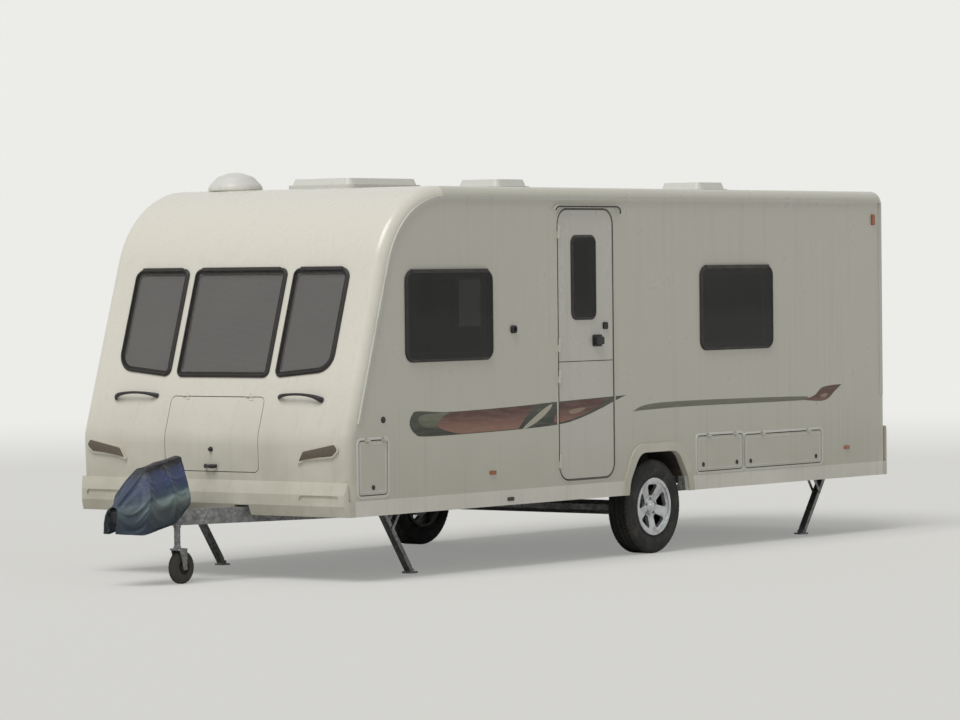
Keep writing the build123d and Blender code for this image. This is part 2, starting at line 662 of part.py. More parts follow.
def build_skirts():
    """Side skirts, arch mouldings, and front and rear bumpers."""
    skirts, mouldings = [], []
    strip = block((REAR_X + 60, FRONT_X - 60), (SIDE_Y - SKIRT_THICK, SIDE_Y), (SKIRT_LOW, FLOOR_UNDER))
    for side, sign in SIDES:
        run = strip if sign > 0 else mirror(strip, about=Plane.XZ)
        skirts += list((run - through(arch_outline(), sign)).solids())
        band = outward(arch_outline(ARCH_BAND), SIDE_Y, SIDE_Y + ARCH_BAND_THICK, sign)
        band -= through(arch_outline(), sign)
        mouldings.append(band & near_wheels(SKIRT_LOW, ARCH_TOP + 200))
    PARTS["skirts"] = Compound(skirts)
    PARTS["arch_mouldings"] = Compound(mouldings)

    plan = Pos((FRONT_X + REAR_X) / 2, 0, SKIRT_LOW - 1) * extrude(
        RectangleRounded(BODY_LENGTH + 2 * REAR_REACH, BODY_WIDTH, CORNER_RADIUS + 20), 500)
    front = bumper_piece(FRONT_X, BUMPER_FRONT, BUMPER_FRONT_HOLLOW, plan)
    rear = bumper_piece(REAR_X, BUMPER_REAR, BUMPER_REAR_HOLLOW, plan)
    face_x = FRONT_X + max(x for x, z in BUMPER_FRONT)
    width, height = RECESS_NEAR - RECESS_FAR, RECESS_HIGH - RECESS_LOW
    for side, sign in SIDES:
        notch_y = sign * drawbar_y(0)
        front -= block((FRONT_X - 70, FRONT_X + 60), (notch_y - BUMPER_NOTCH, notch_y + BUMPER_NOTCH),
                       (0, FLOOR_UNDER - 36))
        middle = Plane(origin=(face_x - RECESS_DEPTH, sign * (SIDE_Y - (RECESS_NEAR + RECESS_FAR) / 2),
                               (RECESS_LOW + RECESS_HIGH) / 2), x_dir=(0, 1, 0), z_dir=(1, 0, 0))
        front -= extrude(middle * RectangleRounded(width, height, height / 2 - 2), 60)
    PARTS["bumpers"] = Compound([front, rear])


def drawbar_y(distance):
    """Distance of the drawbar's web from the centre plane, at a place ahead of the foot."""
    share = (DRAWBAR_TIP - distance) / (DRAWBAR_TIP + RAIL_FRONT_BACK)
    return DRAWBAR_TIP_Y + share * (RAIL_Y - DRAWBAR_TIP_Y)


def channel(start, end, depth, side):
    """C-section member between two points in plan, its open side towards the centre."""
    start, end = Vector(start[0], start[1], RAIL_LOW), Vector(end[0], end[1], RAIL_LOW)
    length = (end - start).length
    plane = Plane(origin=start, x_dir=(end - start), z_dir=(0, 0, 1))
    web = Pos(length / 2, 0, depth / 2) * Box(length, RAIL_STEEL, depth)
    for level in (RAIL_STEEL / 2, depth - RAIL_STEEL / 2):
        web += Pos(length / 2, -side * RAIL_FLANGE / 2, level) * Box(length, RAIL_FLANGE, RAIL_STEEL)
    return plane.location * web


def build_chassis():
    """Two pressed rails that run on into the drawbar."""
    knee_x = FRONT_X - RAIL_FRONT_BACK
    rear_x = FRONT_X - RAIL_REAR_BACK
    for side, sign in SIDES:
        rail = channel((knee_x, sign * RAIL_Y), (rear_x, sign * RAIL_Y), RAIL_DEPTH, -sign)
        for index in range(RAIL_HOLES):
            hole_x = knee_x - RAIL_HOLE_FIRST - index * RAIL_HOLE_PITCH
            hole = Rot(90, 0, 0) * Cylinder(RAIL_HOLE_RADIUS, 10 * RAIL_STEEL)
            rail -= Pos(hole_x, sign * RAIL_Y, RAIL_LOW + RAIL_DEPTH / 2) * hole
        tip = (FRONT_X + DRAWBAR_TIP, sign * DRAWBAR_TIP_Y)
        PARTS["chassis_rail_" + side] = rail + channel((knee_x, sign * RAIL_Y), tip, DRAWBAR_DEPTH, sign)


def build_cross_members():
    """Box-section members between the rails' webs."""
    members = []
    half = RAIL_Y - RAIL_STEEL / 2
    outer, inner = MEMBER_SIZE / 2, MEMBER_SIZE / 2 - MEMBER_STEEL
    middle = FLOOR_UNDER - MEMBER_DROP - outer
    for back in MEMBERS_BACK:
        x = FRONT_X - back
        tube = block((x - outer, x + outer), (-half, half), (middle - outer, middle + outer))
        members.append(tube - block((x - inner, x + inner), (-half, half), (middle - inner, middle + inner)))
    PARTS["cross_members"] = Compound(members)


def build_axle():
    """Eight-sided axle tube under the rails, trailing arms, backplates and spindles."""
    half_turn = 180 / 8
    corner = AXLE_ACROSS_FLATS / 2 / math.cos(math.radians(half_turn))
    section = Rot(0, 0, half_turn) * RegularPolygon(corner, 8)
    plane = Plane(origin=(AXLE_X, 0, AXLE_Z), x_dir=(1, 0, 0), z_dir=(0, 1, 0))
    axle = extrude(plane * section, ARM_INNER_Y, both=True)
    for side, sign in SIDES:
        centre_y = sign * (ARM_INNER_Y + ARM_THICK / 2)
        axle += Pos(AXLE_X, centre_y, AXLE_Z) * Rot(90, 0, 0) * Cylinder(ARM_AXLE_RADIUS, ARM_THICK)
        axle += Pos(WHEEL_X, centre_y, TYRE_RADIUS) * Rot(90, 0, 0) * Cylinder(ARM_WHEEL_RADIUS, ARM_THICK)
        middle = Pos((AXLE_X + WHEEL_X) / 2, centre_y, (AXLE_Z + TYRE_RADIUS) / 2)
        axle += middle * Box(AXLE_AHEAD, ARM_THICK, ARM_DEPTH)
        for y_from, y_to, radius in (
            (ARM_INNER_Y, BACKPLATE_Y, STUB_RADIUS),
            (BACKPLATE_Y, BACKPLATE_Y + BACKPLATE_THICK, DRUM_RADIUS + 4),
            (BACKPLATE_Y, MOUNTING_Y + 20, SPINDLE_RADIUS),
        ):
            axle += rod((WHEEL_X, sign * y_from, TYRE_RADIUS), (WHEEL_X, sign * y_to, TYRE_RADIUS), radius)
    PARTS["axle"] = axle


def turned(section):
    """Revolve a wheel section about the axle. Its x runs outwards on the left side."""
    plane = Plane(origin=(0, 0, 0), x_dir=(0, 1, 0), z_dir=(1, 0, 0))
    return revolve(plane * section, Axis.Y, 360)


def both_sides(corners):
    """Corners of a closed outline that is the same on both sides of its first coordinate's zero."""
    return [(-half, other, radius) for half, other, radius in corners] + [
        (half, other, radius) for half, other, radius in reversed(corners)]


def tyre_solid():
    """Tyre with rounded shoulders and bulging sides."""
    half = TYRE_WIDTH / 2
    return turned(shape_of(both_sides([
        (BEAD, SEAT, 0),
        (BEAD, RIM_RADIUS + 8, 0),
        (half, 248, 50),
        (half - 7, TYRE_RADIUS - 24, 30),
        (half - 22, TYRE_RADIUS, 12),
    ])))


def spoke_window():
    """Opening between two spokes, about the plane's centre."""
    corners = []
    for (radius, half_angle, corner), ends in ((SPOKE_WINDOW_INNER, (-1, 1)), (SPOKE_WINDOW_OUTER, (1, -1))):
        for end in ends:
            angle = math.radians(end * half_angle)
            corners.append((radius * math.cos(angle), radius * math.sin(angle), corner))
    return shape_of(corners)


def rim_solid():
    """Alloy rim with five broad spokes, on its brake drum."""
    lip = BEAD + RIM_LIP
    barrel = [(-lip, SEAT - 8), (-lip, RIM_RADIUS + 8), (-BEAD, RIM_RADIUS + 8), (-BEAD, SEAT),
              (BEAD, SEAT), (BEAD, RIM_RADIUS + 8), (lip, RIM_RADIUS + 8), (lip, SEAT - 8)]
    rim = turned(make_face(Polyline(*barrel, close=True)))
    mount = MOUNTING_Y - WHEEL_Y
    face = [(mount, 30), (mount, 78), (BEAD - 20, SEAT - 6), (BEAD + 4, SEAT - 6), (mount + 28, 70),
            (mount + 34, 30)]
    disc = turned(make_face(Polyline(*face, close=True)))
    plane = Plane(origin=(0, 0, 0), x_dir=(1, 0, 0), z_dir=(0, 1, 0))
    for index in range(SPOKES):
        turn = Rot(0, 0, 90 + (index + 0.5) * 360 / SPOKES)
        disc -= extrude(plane * (turn * spoke_window()), 200, both=True)
    hub_in = BACKPLATE_Y + 2 * BACKPLATE_THICK - WHEEL_Y
    drum = [(hub_in, 0), (hub_in, DRUM_RADIUS), (mount, DRUM_RADIUS), (mount, 60), (mount + 34, 48),
            (mount + 44, 34), (mount + 48, 0)]
    bore = SPINDLE_RADIUS + RUNNING_FIT
    hole = [(hub_in - 1, 0), (hub_in - 1, bore), (mount + 24, bore), (mount + 24, 0)]
    rim += disc + turned(make_face(Polyline(*drum, close=True)))
    return rim - turned(make_face(Polyline(*hole, close=True)))


def build_wheels():
    """Tyre and rim of each side."""
    place = Pos(WHEEL_X, WHEEL_Y, TYRE_RADIUS)
    for name, solid in (("tyre_", place * tyre_solid()), ("rim_", place * rim_solid())):
        PARTS[name + "left"] = solid
        PARTS[name + "right"] = mirror(solid, about=Plane.XZ)


def run_down(upper, lower):
    """Corner on the line through two corners, at the height that the room inside is cut down to."""
    run = (lower[0] - upper[0]) / (upper[1] - lower[1])
    return lower[0] + run * (lower[1] - COVER_BELOW), COVER_BELOW, 0


def cover_form(inset=0.0):
    """Cover's form from its side view, plan and end view. Moved inwards it runs on below the hem."""
    top = COVER_OVER
    if inset:
        foot = run_down(top[0], COVER_BACK)
        toe = run_down(top[-1], COVER_HEM[0])
        side = [foot] + top + [toe]
    else:
        side = [COVER_BACK] + top + COVER_HEM
    side = shape_of(side, ahead)
    plan = shape_of(both_sides([(half, distance, radius) for distance, half, radius in COVER_PLAN]))
    end = shape_of(both_sides(COVER_END))
    if inset:
        side = offset(side, amount=-inset, kind=Kind.INTERSECTION)
        plan = offset(plan, amount=-inset, kind=Kind.INTERSECTION)
        end = offset(end, amount=-inset, kind=Kind.INTERSECTION)
    form = across(side, 400)
    form &= extrude(Plane(origin=(FRONT_X, 0, 100), x_dir=(0, -1, 0), z_dir=(0, 0, 1)) * plan, 900)
    form &= extrude(Plane(origin=(FRONT_X - 100, 0, 0), x_dir=(0, 1, 0), z_dir=(1, 0, 0)) * end, 1500)
    return form


def build_coupling():
    """Coupling head with its ball socket, overrun unit, raised handbrake lever and fabric cover."""
    ball_x = FRONT_X + BALL_AHEAD
    socket = BALL_RADIUS + SOCKET_CLEARANCE

    def round_ball(x, z):
        return ball_x + x, BALL_HEIGHT + z

    head = across(shape_of([
        (-HEAD_LENGTH, 25, 4), (-HEAD_LENGTH, 62, 14), (-60, 74, 30), (34, 72, 24), (48, 40, 20),
        (44, -22, 4), (-44, -22, 4), (-52, 10, 10), (-120, 16, 20),
    ], round_ball), HEAD_HALF)
    head -= Pos(ball_x, 0, BALL_HEIGHT) * Sphere(socket)
    head -= Pos(ball_x, 0, BALL_HEIGHT - 30) * Cylinder(socket, 60)
    grip = [(-150, 60, 4), (-40, 88, 20), (6, 96, 4), (12, 82, 4), (-20, 66, 16)]
    head += across(shape_of(grip, round_ball), GRIP_HALF)
    PARTS["coupling_head"] = head

    start, end = FRONT_X + UNIT_START, FRONT_X + UNIT_END
    unit = rod((start, 0, SHAFT_HEIGHT), (end, 0, SHAFT_HEIGHT), UNIT_RADIUS)
    unit += rod((start, 0, SHAFT_HEIGHT), (ball_x - HEAD_LENGTH, 0, SHAFT_HEIGHT), SHAFT_RADIUS)
    for index in range(GAITER_RIBS):
        rib_x = end + 6 + index * GAITER_PITCH
        unit += rod((rib_x, 0, SHAFT_HEIGHT), (rib_x + GAITER_PITCH / 2, 0, SHAFT_HEIGHT), GAITER_RADIUS)
    plate_top = DRAWBAR_TOP + UNIT_PLATE_THICK
    unit += block((start + 20, FRONT_X + DRAWBAR_TIP - 6), (-UNIT_PLATE_HALF, UNIT_PLATE_HALF),
                  (DRAWBAR_TOP, plate_top))
    PARTS["overrun_unit"] = unit

    bracket_start, bracket_end, height, thickness = LEVER_BRACKET
    inner = LEVER_Y - LEVER_THICK / 2
    lever = block((FRONT_X + bracket_start, FRONT_X + bracket_end), (inner - thickness, inner),
                  (plate_top, plate_top + height))
    plate = make_face(Polyline(*[ahead(x, z) for x, z in LEVER_PLATE], close=True))
    lever += Pos(0, LEVER_Y, 0) * across(plate, LEVER_THICK / 2)
    (x_low, z_low), (x_high, z_high) = LEVER_GRIP
    lever += rod((FRONT_X + x_low, LEVER_Y, z_low), (FRONT_X + x_high, LEVER_Y, z_high), LEVER_GRIP_RADIUS)
    PARTS["handbrake_lever"] = lever & cover_form(COVER_SKIN + SEAT_GAP)
    PARTS["hitch_cover"] = cover_form() - cover_form(COVER_SKIN)


def build_jockey():
    """Clamp and tube on the drawbar, winding stem, castor fork and solid wheel."""
    x = FRONT_X + JOCKEY_AHEAD
    web = drawbar_y(JOCKEY_AHEAD) + RAIL_STEEL / 2
    y = web + JOCKEY_OFFSET
    crown = 2 * JOCKEY_WHEEL_RADIUS + JOCKEY_CROWN
    tube_low = crown + JOCKEY_COLLAR + JOCKEY_LIFT + 8
    clamp = (RAIL_LOW + 12, DRAWBAR_TOP - 12)
    cap = JOCKEY_TOP - 8
    tube = rod((x, y, tube_low), (x, y, JOCKEY_TOP), JOCKEY_TUBE_RADIUS)
    tube += block((x - 18, x + 18), (web - 30, y), clamp)
    tube += rod((x, y, clamp[0]), (x, y, clamp[1]), JOCKEY_TUBE_RADIUS + 9)
    tube += rod((x, y, cap), (x, y, JOCKEY_TOP + 24), 11)
    tube += block((x - 12, x + JOCKEY_CRANK + 8), (y - 9, y + 9), (JOCKEY_TOP + 16, JOCKEY_TOP + 26))
    tube += rod((x + JOCKEY_CRANK, y, JOCKEY_TOP - 40), (x + JOCKEY_CRANK, y, JOCKEY_TOP + 18), 12)
    tube -= rod((x, y, tube_low - 1), (x, y, cap), JOCKEY_STEM_RADIUS + RUNNING_FIT)
    tip, root = (FRONT_X + DRAWBAR_TIP, DRAWBAR_TIP_Y), (FRONT_X - RAIL_FRONT_BACK, RAIL_Y)
    outer = RAIL_STEEL / 2 / math.cos(math.atan2(root[1] - tip[1], tip[0] - root[0]))
    inside = Polyline((tip[0], tip[1] + outer), (root[0], root[1] + outer), (root[0], 0), (tip[0], 0),
                      close=True)
    tube -= extrude(make_face(inside), 900)
    PARTS["jockey_tube"] = tube
    pivot = crown + JOCKEY_PIVOT_LENGTH
    stem = rod((x, y, crown + JOCKEY_COLLAR), (x, y, cap - JOCKEY_LIFT - 6), JOCKEY_STEM_RADIUS)
    stem += rod((x, y, crown + SEAT_GAP), (x, y, crown + JOCKEY_COLLAR), 24)
    stem -= rod((x, y, crown), (x, y, pivot + 4), JOCKEY_PIVOT_RADIUS + RUNNING_FIT)
    PARTS["jockey_stem"] = stem
    wheel_x = x - JOCKEY_TRAIL
    half = JOCKEY_WHEEL_WIDTH / 2
    fork = block((x - 52, x + 26), (y - half - 12, y + half + 12), (crown - 10, crown))
    fork += rod((x, y, crown - 4), (x, y, pivot), JOCKEY_PIVOT_RADIUS)
    ear = make_face(Polyline((x - 50, crown), (x + 20, crown), (wheel_x + 16, JOCKEY_WHEEL_RADIUS - 16),
                             (wheel_x - 16, JOCKEY_WHEEL_RADIUS - 16), close=True))
    for sign in (-1, 1):
        fork += Pos(0, y + sign * (half + 9), 0) * across(ear, 3)
    fork += rod((wheel_x, y - half - 16, JOCKEY_WHEEL_RADIUS), (wheel_x, y + half + 16, JOCKEY_WHEEL_RADIUS),
                JOCKEY_AXLE_RADIUS)
    PARTS["jockey_fork"] = fork
    bore = JOCKEY_AXLE_RADIUS + RUNNING_FIT
    outer_half = [(half, bore, 0), (half, 20, 0), (8, 26, 0), (8, 40, 0), (half, 48, 0), (half, 80, 8),
                  (half - 12, JOCKEY_WHEEL_RADIUS, 8)]
    wheel = turned(shape_of(both_sides(outer_half)))
    PARTS["jockey_wheel"] = Pos(wheel_x, y, JOCKEY_WHEEL_RADIUS) * wheel


def steady_link():
    """Stay between the leg's pin and the screw, along +X from the pin."""
    y_in = LEG_HALF + EAR_GAP
    y_out = y_in + STAY_STEEL
    stay = rod((0, 1 - y_out, 0), (0, y_out - 1, 0), PIN_RADIUS)
    for sign in (-1, 1):
        middle = Pos(STEADY_LINK / 2, sign * (y_in + STAY_STEEL / 2), 0)
        stay += middle * Box(STEADY_LINK, STAY_STEEL, STAY_DEPTH)
        for place in (0, STEADY_LINK):
            stay += rod((place, sign * y_in, 0), (place, sign * y_out, 0), STAY_DEPTH / 2 + 2)
        stay += rod((STEADY_LINK, sign * (SCREW_RADIUS + 2), 0), (STEADY_LINK, sign * (y_in + 2), 0),
                    STAY_DEPTH / 2)
    return stay


def steady_leg():
    """Channel leg along +X from its pivot, open on top, with its foot plate level when it is down."""
    length = STEADY_LEG
    outline = [(-16, -16, 12), (-16, 14, 12), (length - 40, 14, 30), (length, 2, 4), (length, -14, 4),
               (length - 20, -18, 30), (60, -18, 20)]
    leg = across(shape_of(outline), LEG_HALF)
    inner = LEG_HALF - LEG_STEEL
    leg -= block((-60, length + 60), (-inner, inner), (-14, 60))
    leg -= block((-60, 66), (-inner, inner), (-60, 60))
    for place in (0, STEADY_LINK):
        leg -= rod((place, -LEG_HALF - 1, 0), (place, LEG_HALF + 1, 0), PIN_RADIUS + RUNNING_FIT)
    return leg


def steady_bracket():
    """Plate under the floor with the ears of the leg's pivot and the winding screw."""
    top = FLOOR_UNDER - STEADY_PIVOT_HEIGHT
    under = top - EAR_THICK
    bracket = block((-60, BRACKET_LENGTH), (-BRACKET_HALF, BRACKET_HALF), (under, top))
    for sign in (-1, 1):
        ear_y = sign * (LEG_HALF + EAR_GAP + EAR_THICK / 2)
        bracket += Pos(0, ear_y, under / 2 - EAR_THICK) * Box(44, EAR_THICK, top + 10)
        bracket += rod((0, sign * (LEG_HALF - LEG_STEEL - 2), 0), (0, ear_y, 0), PIN_RADIUS)
    bracket += block((-60, -50), (-30, 30), (-16, top - 3))
    bracket += block((SCREW_BEYOND - 6, SCREW_BEYOND + 8), (-20, 20), (-14, top - 3))
    return bracket + rod((-SCREW_AHEAD, 0, 0), (SCREW_BEYOND, 0, 0), SCREW_RADIUS)


def build_steadies():
    """Four corner steadies: bracket and screw on the floor, leg down on its pad, and stay."""
    down = math.degrees(DOWN_ANGLE)
    foot_x, foot_z = STEADY_LEG * math.cos(DOWN_ANGLE), -STEADY_PIVOT_HEIGHT
    shin = (Rot(0, down, 0) * steady_leg()) & block((-100, 1000), (-200, 200), (foot_z + PAD_THICK - 1, 200))
    leg = shin + Pos(foot_x, 0, foot_z + PAD_THICK / 2) * Cylinder(PAD_RADIUS, PAD_THICK)
    leg += Pos(foot_x - 6, 0, foot_z + PAD_THICK + 9) * Box(36, 2 * LEG_HALF, 22)
    pin = Pos(STEADY_LINK * math.cos(DOWN_ANGLE), 0, -STEADY_LINK * math.sin(DOWN_ANGLE))
    stay = pin * Rot(0, -down, 0) * steady_link()
    brackets = []
    for name, back, direction, side in STEADIES:
        place = Pos(FRONT_X - back, side * STEADY_Y, STEADY_PIVOT_HEIGHT)
        turn = Rot(0, 0, 0) if direction > 0 else Rot(0, 0, 180)
        brackets.append(place * turn * steady_bracket())
        PARTS["leg_" + name] = place * turn * leg
        PARTS["stay_" + name] = place * turn * stay
    PARTS["steady_brackets"] = Compound(brackets)


def build_lamps():
    """Front, rear and side lamps."""
    front = Plane(origin=(FRONT_X, 0, 0), x_dir=(0, 1, 0), z_dir=(1, 0, 0))
    skin = across(offset(body_outline(FLOOR_UNDER), amount=LAMP_STAND), SIDE_Y)
    skin -= across(body_outline(FLOOR_UNDER - 100), SIDE_Y)
    outline = shape_of([(SIDE_Y - inwards, height, radius) for inwards, height, radius in LAMP_WING])
    wing = extrude(front * outline, 80, both=True)
    wing = (wing & skin).solids().sort_by(Axis.X)[-1]
    PARTS["front_lamps"] = Compound([wing, mirror(wing, about=Plane.XZ)])

    rear_lamps, markers = [], []
    high_marker = rounded(*HIGH_MARKER)
    for side, sign in SIDES:
        place = REAR_PLANE * Pos(-sign * REAR_LAMP_Y, REAR_LAMP_MIDDLE)
        lamp = RectangleRounded(REAR_LAMP_WIDTH, REAR_LAMP_HEIGHT, 30)
        rear_lamps.append(extrude(place * lamp, REAR_LAMP_STAND))
        for back in MARKERS_BACK:
            outline = rounded(back - MARKER_HALF, back + MARKER_HALF, MARKER_LOW, MARKER_HIGH, 8)
            markers.append(outward(outline, SIDE_Y, SIDE_Y + MARKER_STAND, sign))
        markers.append(outward(high_marker, SIDE_Y, SIDE_Y + HIGH_MARKER_STAND, sign))
    high_lamp = REAR_PLANE * (Pos(0, HIGH_LAMP_MIDDLE) * RectangleRounded(HIGH_LAMP_WIDTH, 40, 12))
    rear_lamps.append(extrude(high_lamp, 18))
    PARTS["rear_lamps"] = Compound(rear_lamps)
    PARTS["side_markers"] = Compound(markers)


def build_handles():
    """Grab handles at the front and rear, and the catch that holds the open door."""
    plane = front_plane()
    up = slope_run(FRONT_GRIP_HEIGHT)
    half, room = GRIP_WIDTH / 2, GRIP_ROOM
    handles = [outward(rounded(*RETAINER), SIDE_Y, SIDE_Y + RETAINER_STAND)]
    for side, sign in SIDES:
        middle = Pos(sign * FRONT_GRIP_Y, up)
        outline = middle * RectangleRounded(FRONT_GRIP_LENGTH, GRIP_WIDTH, half - 1)
        grip = extrude(plane * outline, GRIP_STAND)
        handles.append(grip - extrude(plane * (middle * Rectangle(FRONT_GRIP_LENGTH - 80, 40)), room))
        y = sign * REAR_GRIP_Y
        grip = block((REAR_X - GRIP_STAND, REAR_X), (y - half, y + half), (REAR_GRIP_LOW, REAR_GRIP_HIGH))
        hand = (REAR_GRIP_LOW + 35, REAR_GRIP_HIGH - 35)
        handles.append(grip - block((REAR_X - room, REAR_X + 1), (y - 20, y + 20), hand))
    PARTS["grab_handles"] = Compound(handles)


def build_rails():
    """Awning rail along each side's rounded edge, and the drip moulding over the door."""
    low = FLOOR_UNDER + 60
    band = inner_outline(low, CORNER_RADIUS - 2) - inner_outline(low, CORNER_RADIUS - 2 + AWNING_WIDTH)
    pieces = []
    for side, sign in SIDES:
        rail = outward(band, SIDE_Y, SIDE_Y + AWNING_STAND, sign)
        pieces += list((rail & block((REAR_X, FRONT_X + 30), (-FAR, FAR), (AWNING_FOOT, FAR))).solids())
    arch = rounded(DRIP_START, DRIP_END, DRIP_LOW - 100, DRIP_HIGH, DRIP_RADIUS)
    arch -= rounded(DRIP_START, DRIP_END, DRIP_LOW - 100, DRIP_HIGH, DRIP_RADIUS, -DRIP_THICK)
    drip = outward(arch, SIDE_Y, SIDE_Y + DRIP_STAND) & block((REAR_X, FRONT_X), (0, FAR), (DRIP_LOW, FAR))
    PARTS["awning_rails"] = Compound(pieces + [drip])


def build_offside():
    """Vents and inlet covers of the right side."""
    pieces = [outward(rounded(start, end, low, high, radius), SIDE_Y, SIDE_Y + stand, -1)
              for start, end, low, high, radius, stand in OFFSIDE_PLATES]
    end = VENT_START + VENT_LENGTH
    for low in VENTS_LOW:
        vent = outward(rounded(VENT_START, end, low, low + VENT_HEIGHT, 12), SIDE_Y, SIDE_Y + VENT_STAND, -1)
        for index in range(VENT_SLOTS):
            slot_z = low + 38 + index * VENT_SLOT_PITCH
            slot = rounded(VENT_START + 24, end - 24, slot_z, slot_z + VENT_SLOT_HEIGHT, 3)
            vent -= outward(slot, SIDE_Y + VENT_STAND - VENT_SLOT_DEPTH, SIDE_Y + 20, -1)
        pieces.append(vent)
    PARTS["offside_fittings"] = Compound(pieces)


def build_roof_items():
    """Rooflights with their domes, and the domed aerial."""
    lights = []
    for back, length, width, height in ROOFLIGHTS:
        rim = 0.4 * height
        place = Pos(FRONT_X - back, 0, ROOF_TOP)
        frame = place * extrude(RectangleRounded(length, width, 60), rim)
        cap = extrude(RectangleRounded(length - 40, width - 40, 50), height - rim, taper=24)
        dome = place * Pos(0, 0, rim) * cap
        lights.append(frame + dome)
    PARTS["rooflights"] = Compound(lights)
    dome = revolve(Plane.XZ * shape_of(AERIAL_SECTION), Axis.Z, 360)
    PARTS["tv_aerial"] = Pos(FRONT_X - AERIAL_BACK, AERIAL_FROM_SIDE - SIDE_Y, ROOF_TOP) * dome


def build_lid_fittings():
    """Pull and lock on the gas locker lid."""
    pull = block((FRONT_X, FRONT_X + 50), (-50, 50), (LID_LOW + 24, LID_LOW + 52))
    lock = block((FRONT_X, FRONT_X + 34), (-16, 16), (LID_LOW + 132, LID_LOW + 160))
    body = across(body_outline(FLOOR_UNDER), SIDE_Y)
    PARTS["lid_fittings"] = Compound([pull - body, lock - body])


def seat(start_back, end_back, y_range):
    """Base and cushion of one seat."""
    (y0, y1), base_top = y_range, FLOOR_TOP + SEAT_BASE
    base = block((FRONT_X - end_back, FRONT_X - start_back), (y0, y1), (FLOOR_TOP, base_top))
    pad = block((FRONT_X - end_back + 10, FRONT_X - start_back - 10), (y0 + 5, y1 - 5),
                (base_top + SEAT_GAP, base_top + SEAT_PAD))
    return base, pad


def build_furniture():
    """What shows through the windows and the open door: settees, chest, kitchen, bunk and bulkhead."""
    seats = [seat(*SEATS_BACK, sorted((sign * (INNER_Y - SEAT_DEPTH), sign * INNER_Y)))
             for side, sign in SIDES]
    seats.append(seat(*BUNK_BACK, (INNER_Y - BUNK_DEPTH, INNER_Y)))
    PARTS["settees"] = Compound([base for base, pad in seats])
    PARTS["seat_cushions"] = Compound([pad for base, pad in seats])
    PARTS["kitchen_unit"] = block((FRONT_X - KITCHEN_BACK[1], FRONT_X - KITCHEN_BACK[0]),
                                  (-INNER_Y, KITCHEN_DEPTH - INNER_Y), (FLOOR_TOP, KITCHEN_HIGH))
    full = (-INNER_Y, INNER_Y)
    behind = FRONT_X - BULKHEAD_BACK
    locker = block((behind, behind + BOARD), full, (FLOOR_TOP, SHELF_HIGH))
    locker += block((behind, FRONT_X - SHELF_FRONT_BACK), full, (SHELF_HIGH - BOARD, SHELF_HIGH))
    wall_front, wall_rear = (FRONT_X - back for back in REAR_WALL_BACK)
    wall = block((wall_rear, wall_front), full, (FLOOR_TOP, ROOF_TOP - WALL))
    door_from, door_to, door_high = REAR_WALL_DOOR
    wall -= block((wall_rear - 100, wall_front + 100), (door_from, door_to), (FLOOR_TOP, door_high))
    room = cabin_room()
    PARTS["bulkheads"] = Compound([locker & room, wall & room])


build_body()
build_wheel_boxes()
build_doors()
build_skirts()
build_chassis()
build_cross_members()
build_axle()
build_wheels()
build_coupling()
build_jockey()
build_steadies()
build_lamps()
build_handles()
build_rails()
build_offside()
build_roof_items()
build_lid_fittings()
build_furniture()

for name, shape in PARTS.items():
    export_step(shape, f"parts/{name}.step")
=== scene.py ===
"""Looks of the touring caravan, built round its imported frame.

Metres, X forward to the hitch, Y to the entrance door's side, Z up. Places on the sides are given as
distances behind the front panel's foot and heights above the ground.
"""
import json
import math

import bmesh
import bpy
from mathutils import Matrix, Vector, noise
from mathutils.geometry import tessellate_polygon


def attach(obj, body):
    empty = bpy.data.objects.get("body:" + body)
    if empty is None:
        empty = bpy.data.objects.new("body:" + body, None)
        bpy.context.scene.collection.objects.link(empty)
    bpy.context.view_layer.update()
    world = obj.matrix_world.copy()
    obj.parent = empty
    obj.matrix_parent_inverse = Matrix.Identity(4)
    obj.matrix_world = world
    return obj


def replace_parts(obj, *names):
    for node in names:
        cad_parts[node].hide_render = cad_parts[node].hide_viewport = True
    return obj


# Sizes shared with the part's source
FOOT_X = 2.690
REAR_X = -3.610
SIDE_Y = 1.140
ROOF_TOP = 2.520
WALL = 0.020                     # what lies further in than this is inside
SKIRT_LOW = 0.418
KNEE_HEIGHT = 0.916
KNEE_X = FOOT_X + 0.018
SLOPE = math.radians(17.36)
LEAN = 0.0361                    # of the low front, outwards per unit of height
WHEEL_X, WHEEL_Y, WHEEL_Z = -0.671, 1.0155, 0.325
DOOR_START, DOOR_END, DOOR_LOW, DOOR_HIGH = 2.224, 2.836, 0.562, 2.368
PANEL_GAP = 0.005

# Viewpoint of the photograph: place, heading, pitch and roll in degrees, and a lens that fills the frame
CAMERA_PLACE = (23.821, 18.490, 1.990)
CAMERA_HEADING, CAMERA_PITCH, CAMERA_ROLL = 37.650, -1.2225, -0.608
CAMERA_LENS = 162.99

# Light: strength, width and two tilts in degrees of the sun, and the pale world's strength off camera
SUN_ENERGY, SUN_WIDTH, SUN_LEAN, SUN_TURN = 1.84, 35, 31, 8
WORLD_LIGHT = 0.28
FLOOR_RADIUS = 160.0

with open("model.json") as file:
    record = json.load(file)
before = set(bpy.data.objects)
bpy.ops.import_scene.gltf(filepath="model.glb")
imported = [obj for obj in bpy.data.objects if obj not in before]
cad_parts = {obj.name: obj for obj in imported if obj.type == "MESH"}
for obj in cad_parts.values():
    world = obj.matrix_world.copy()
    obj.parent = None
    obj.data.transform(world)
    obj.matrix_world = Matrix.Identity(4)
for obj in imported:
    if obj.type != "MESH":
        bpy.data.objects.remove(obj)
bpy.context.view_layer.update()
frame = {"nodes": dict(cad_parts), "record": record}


# Faces of the body that flat pieces are laid on: origin, right, up and out

def face(origin, right, up, out):
    return tuple(Vector(v) for v in (origin, right, up, out))


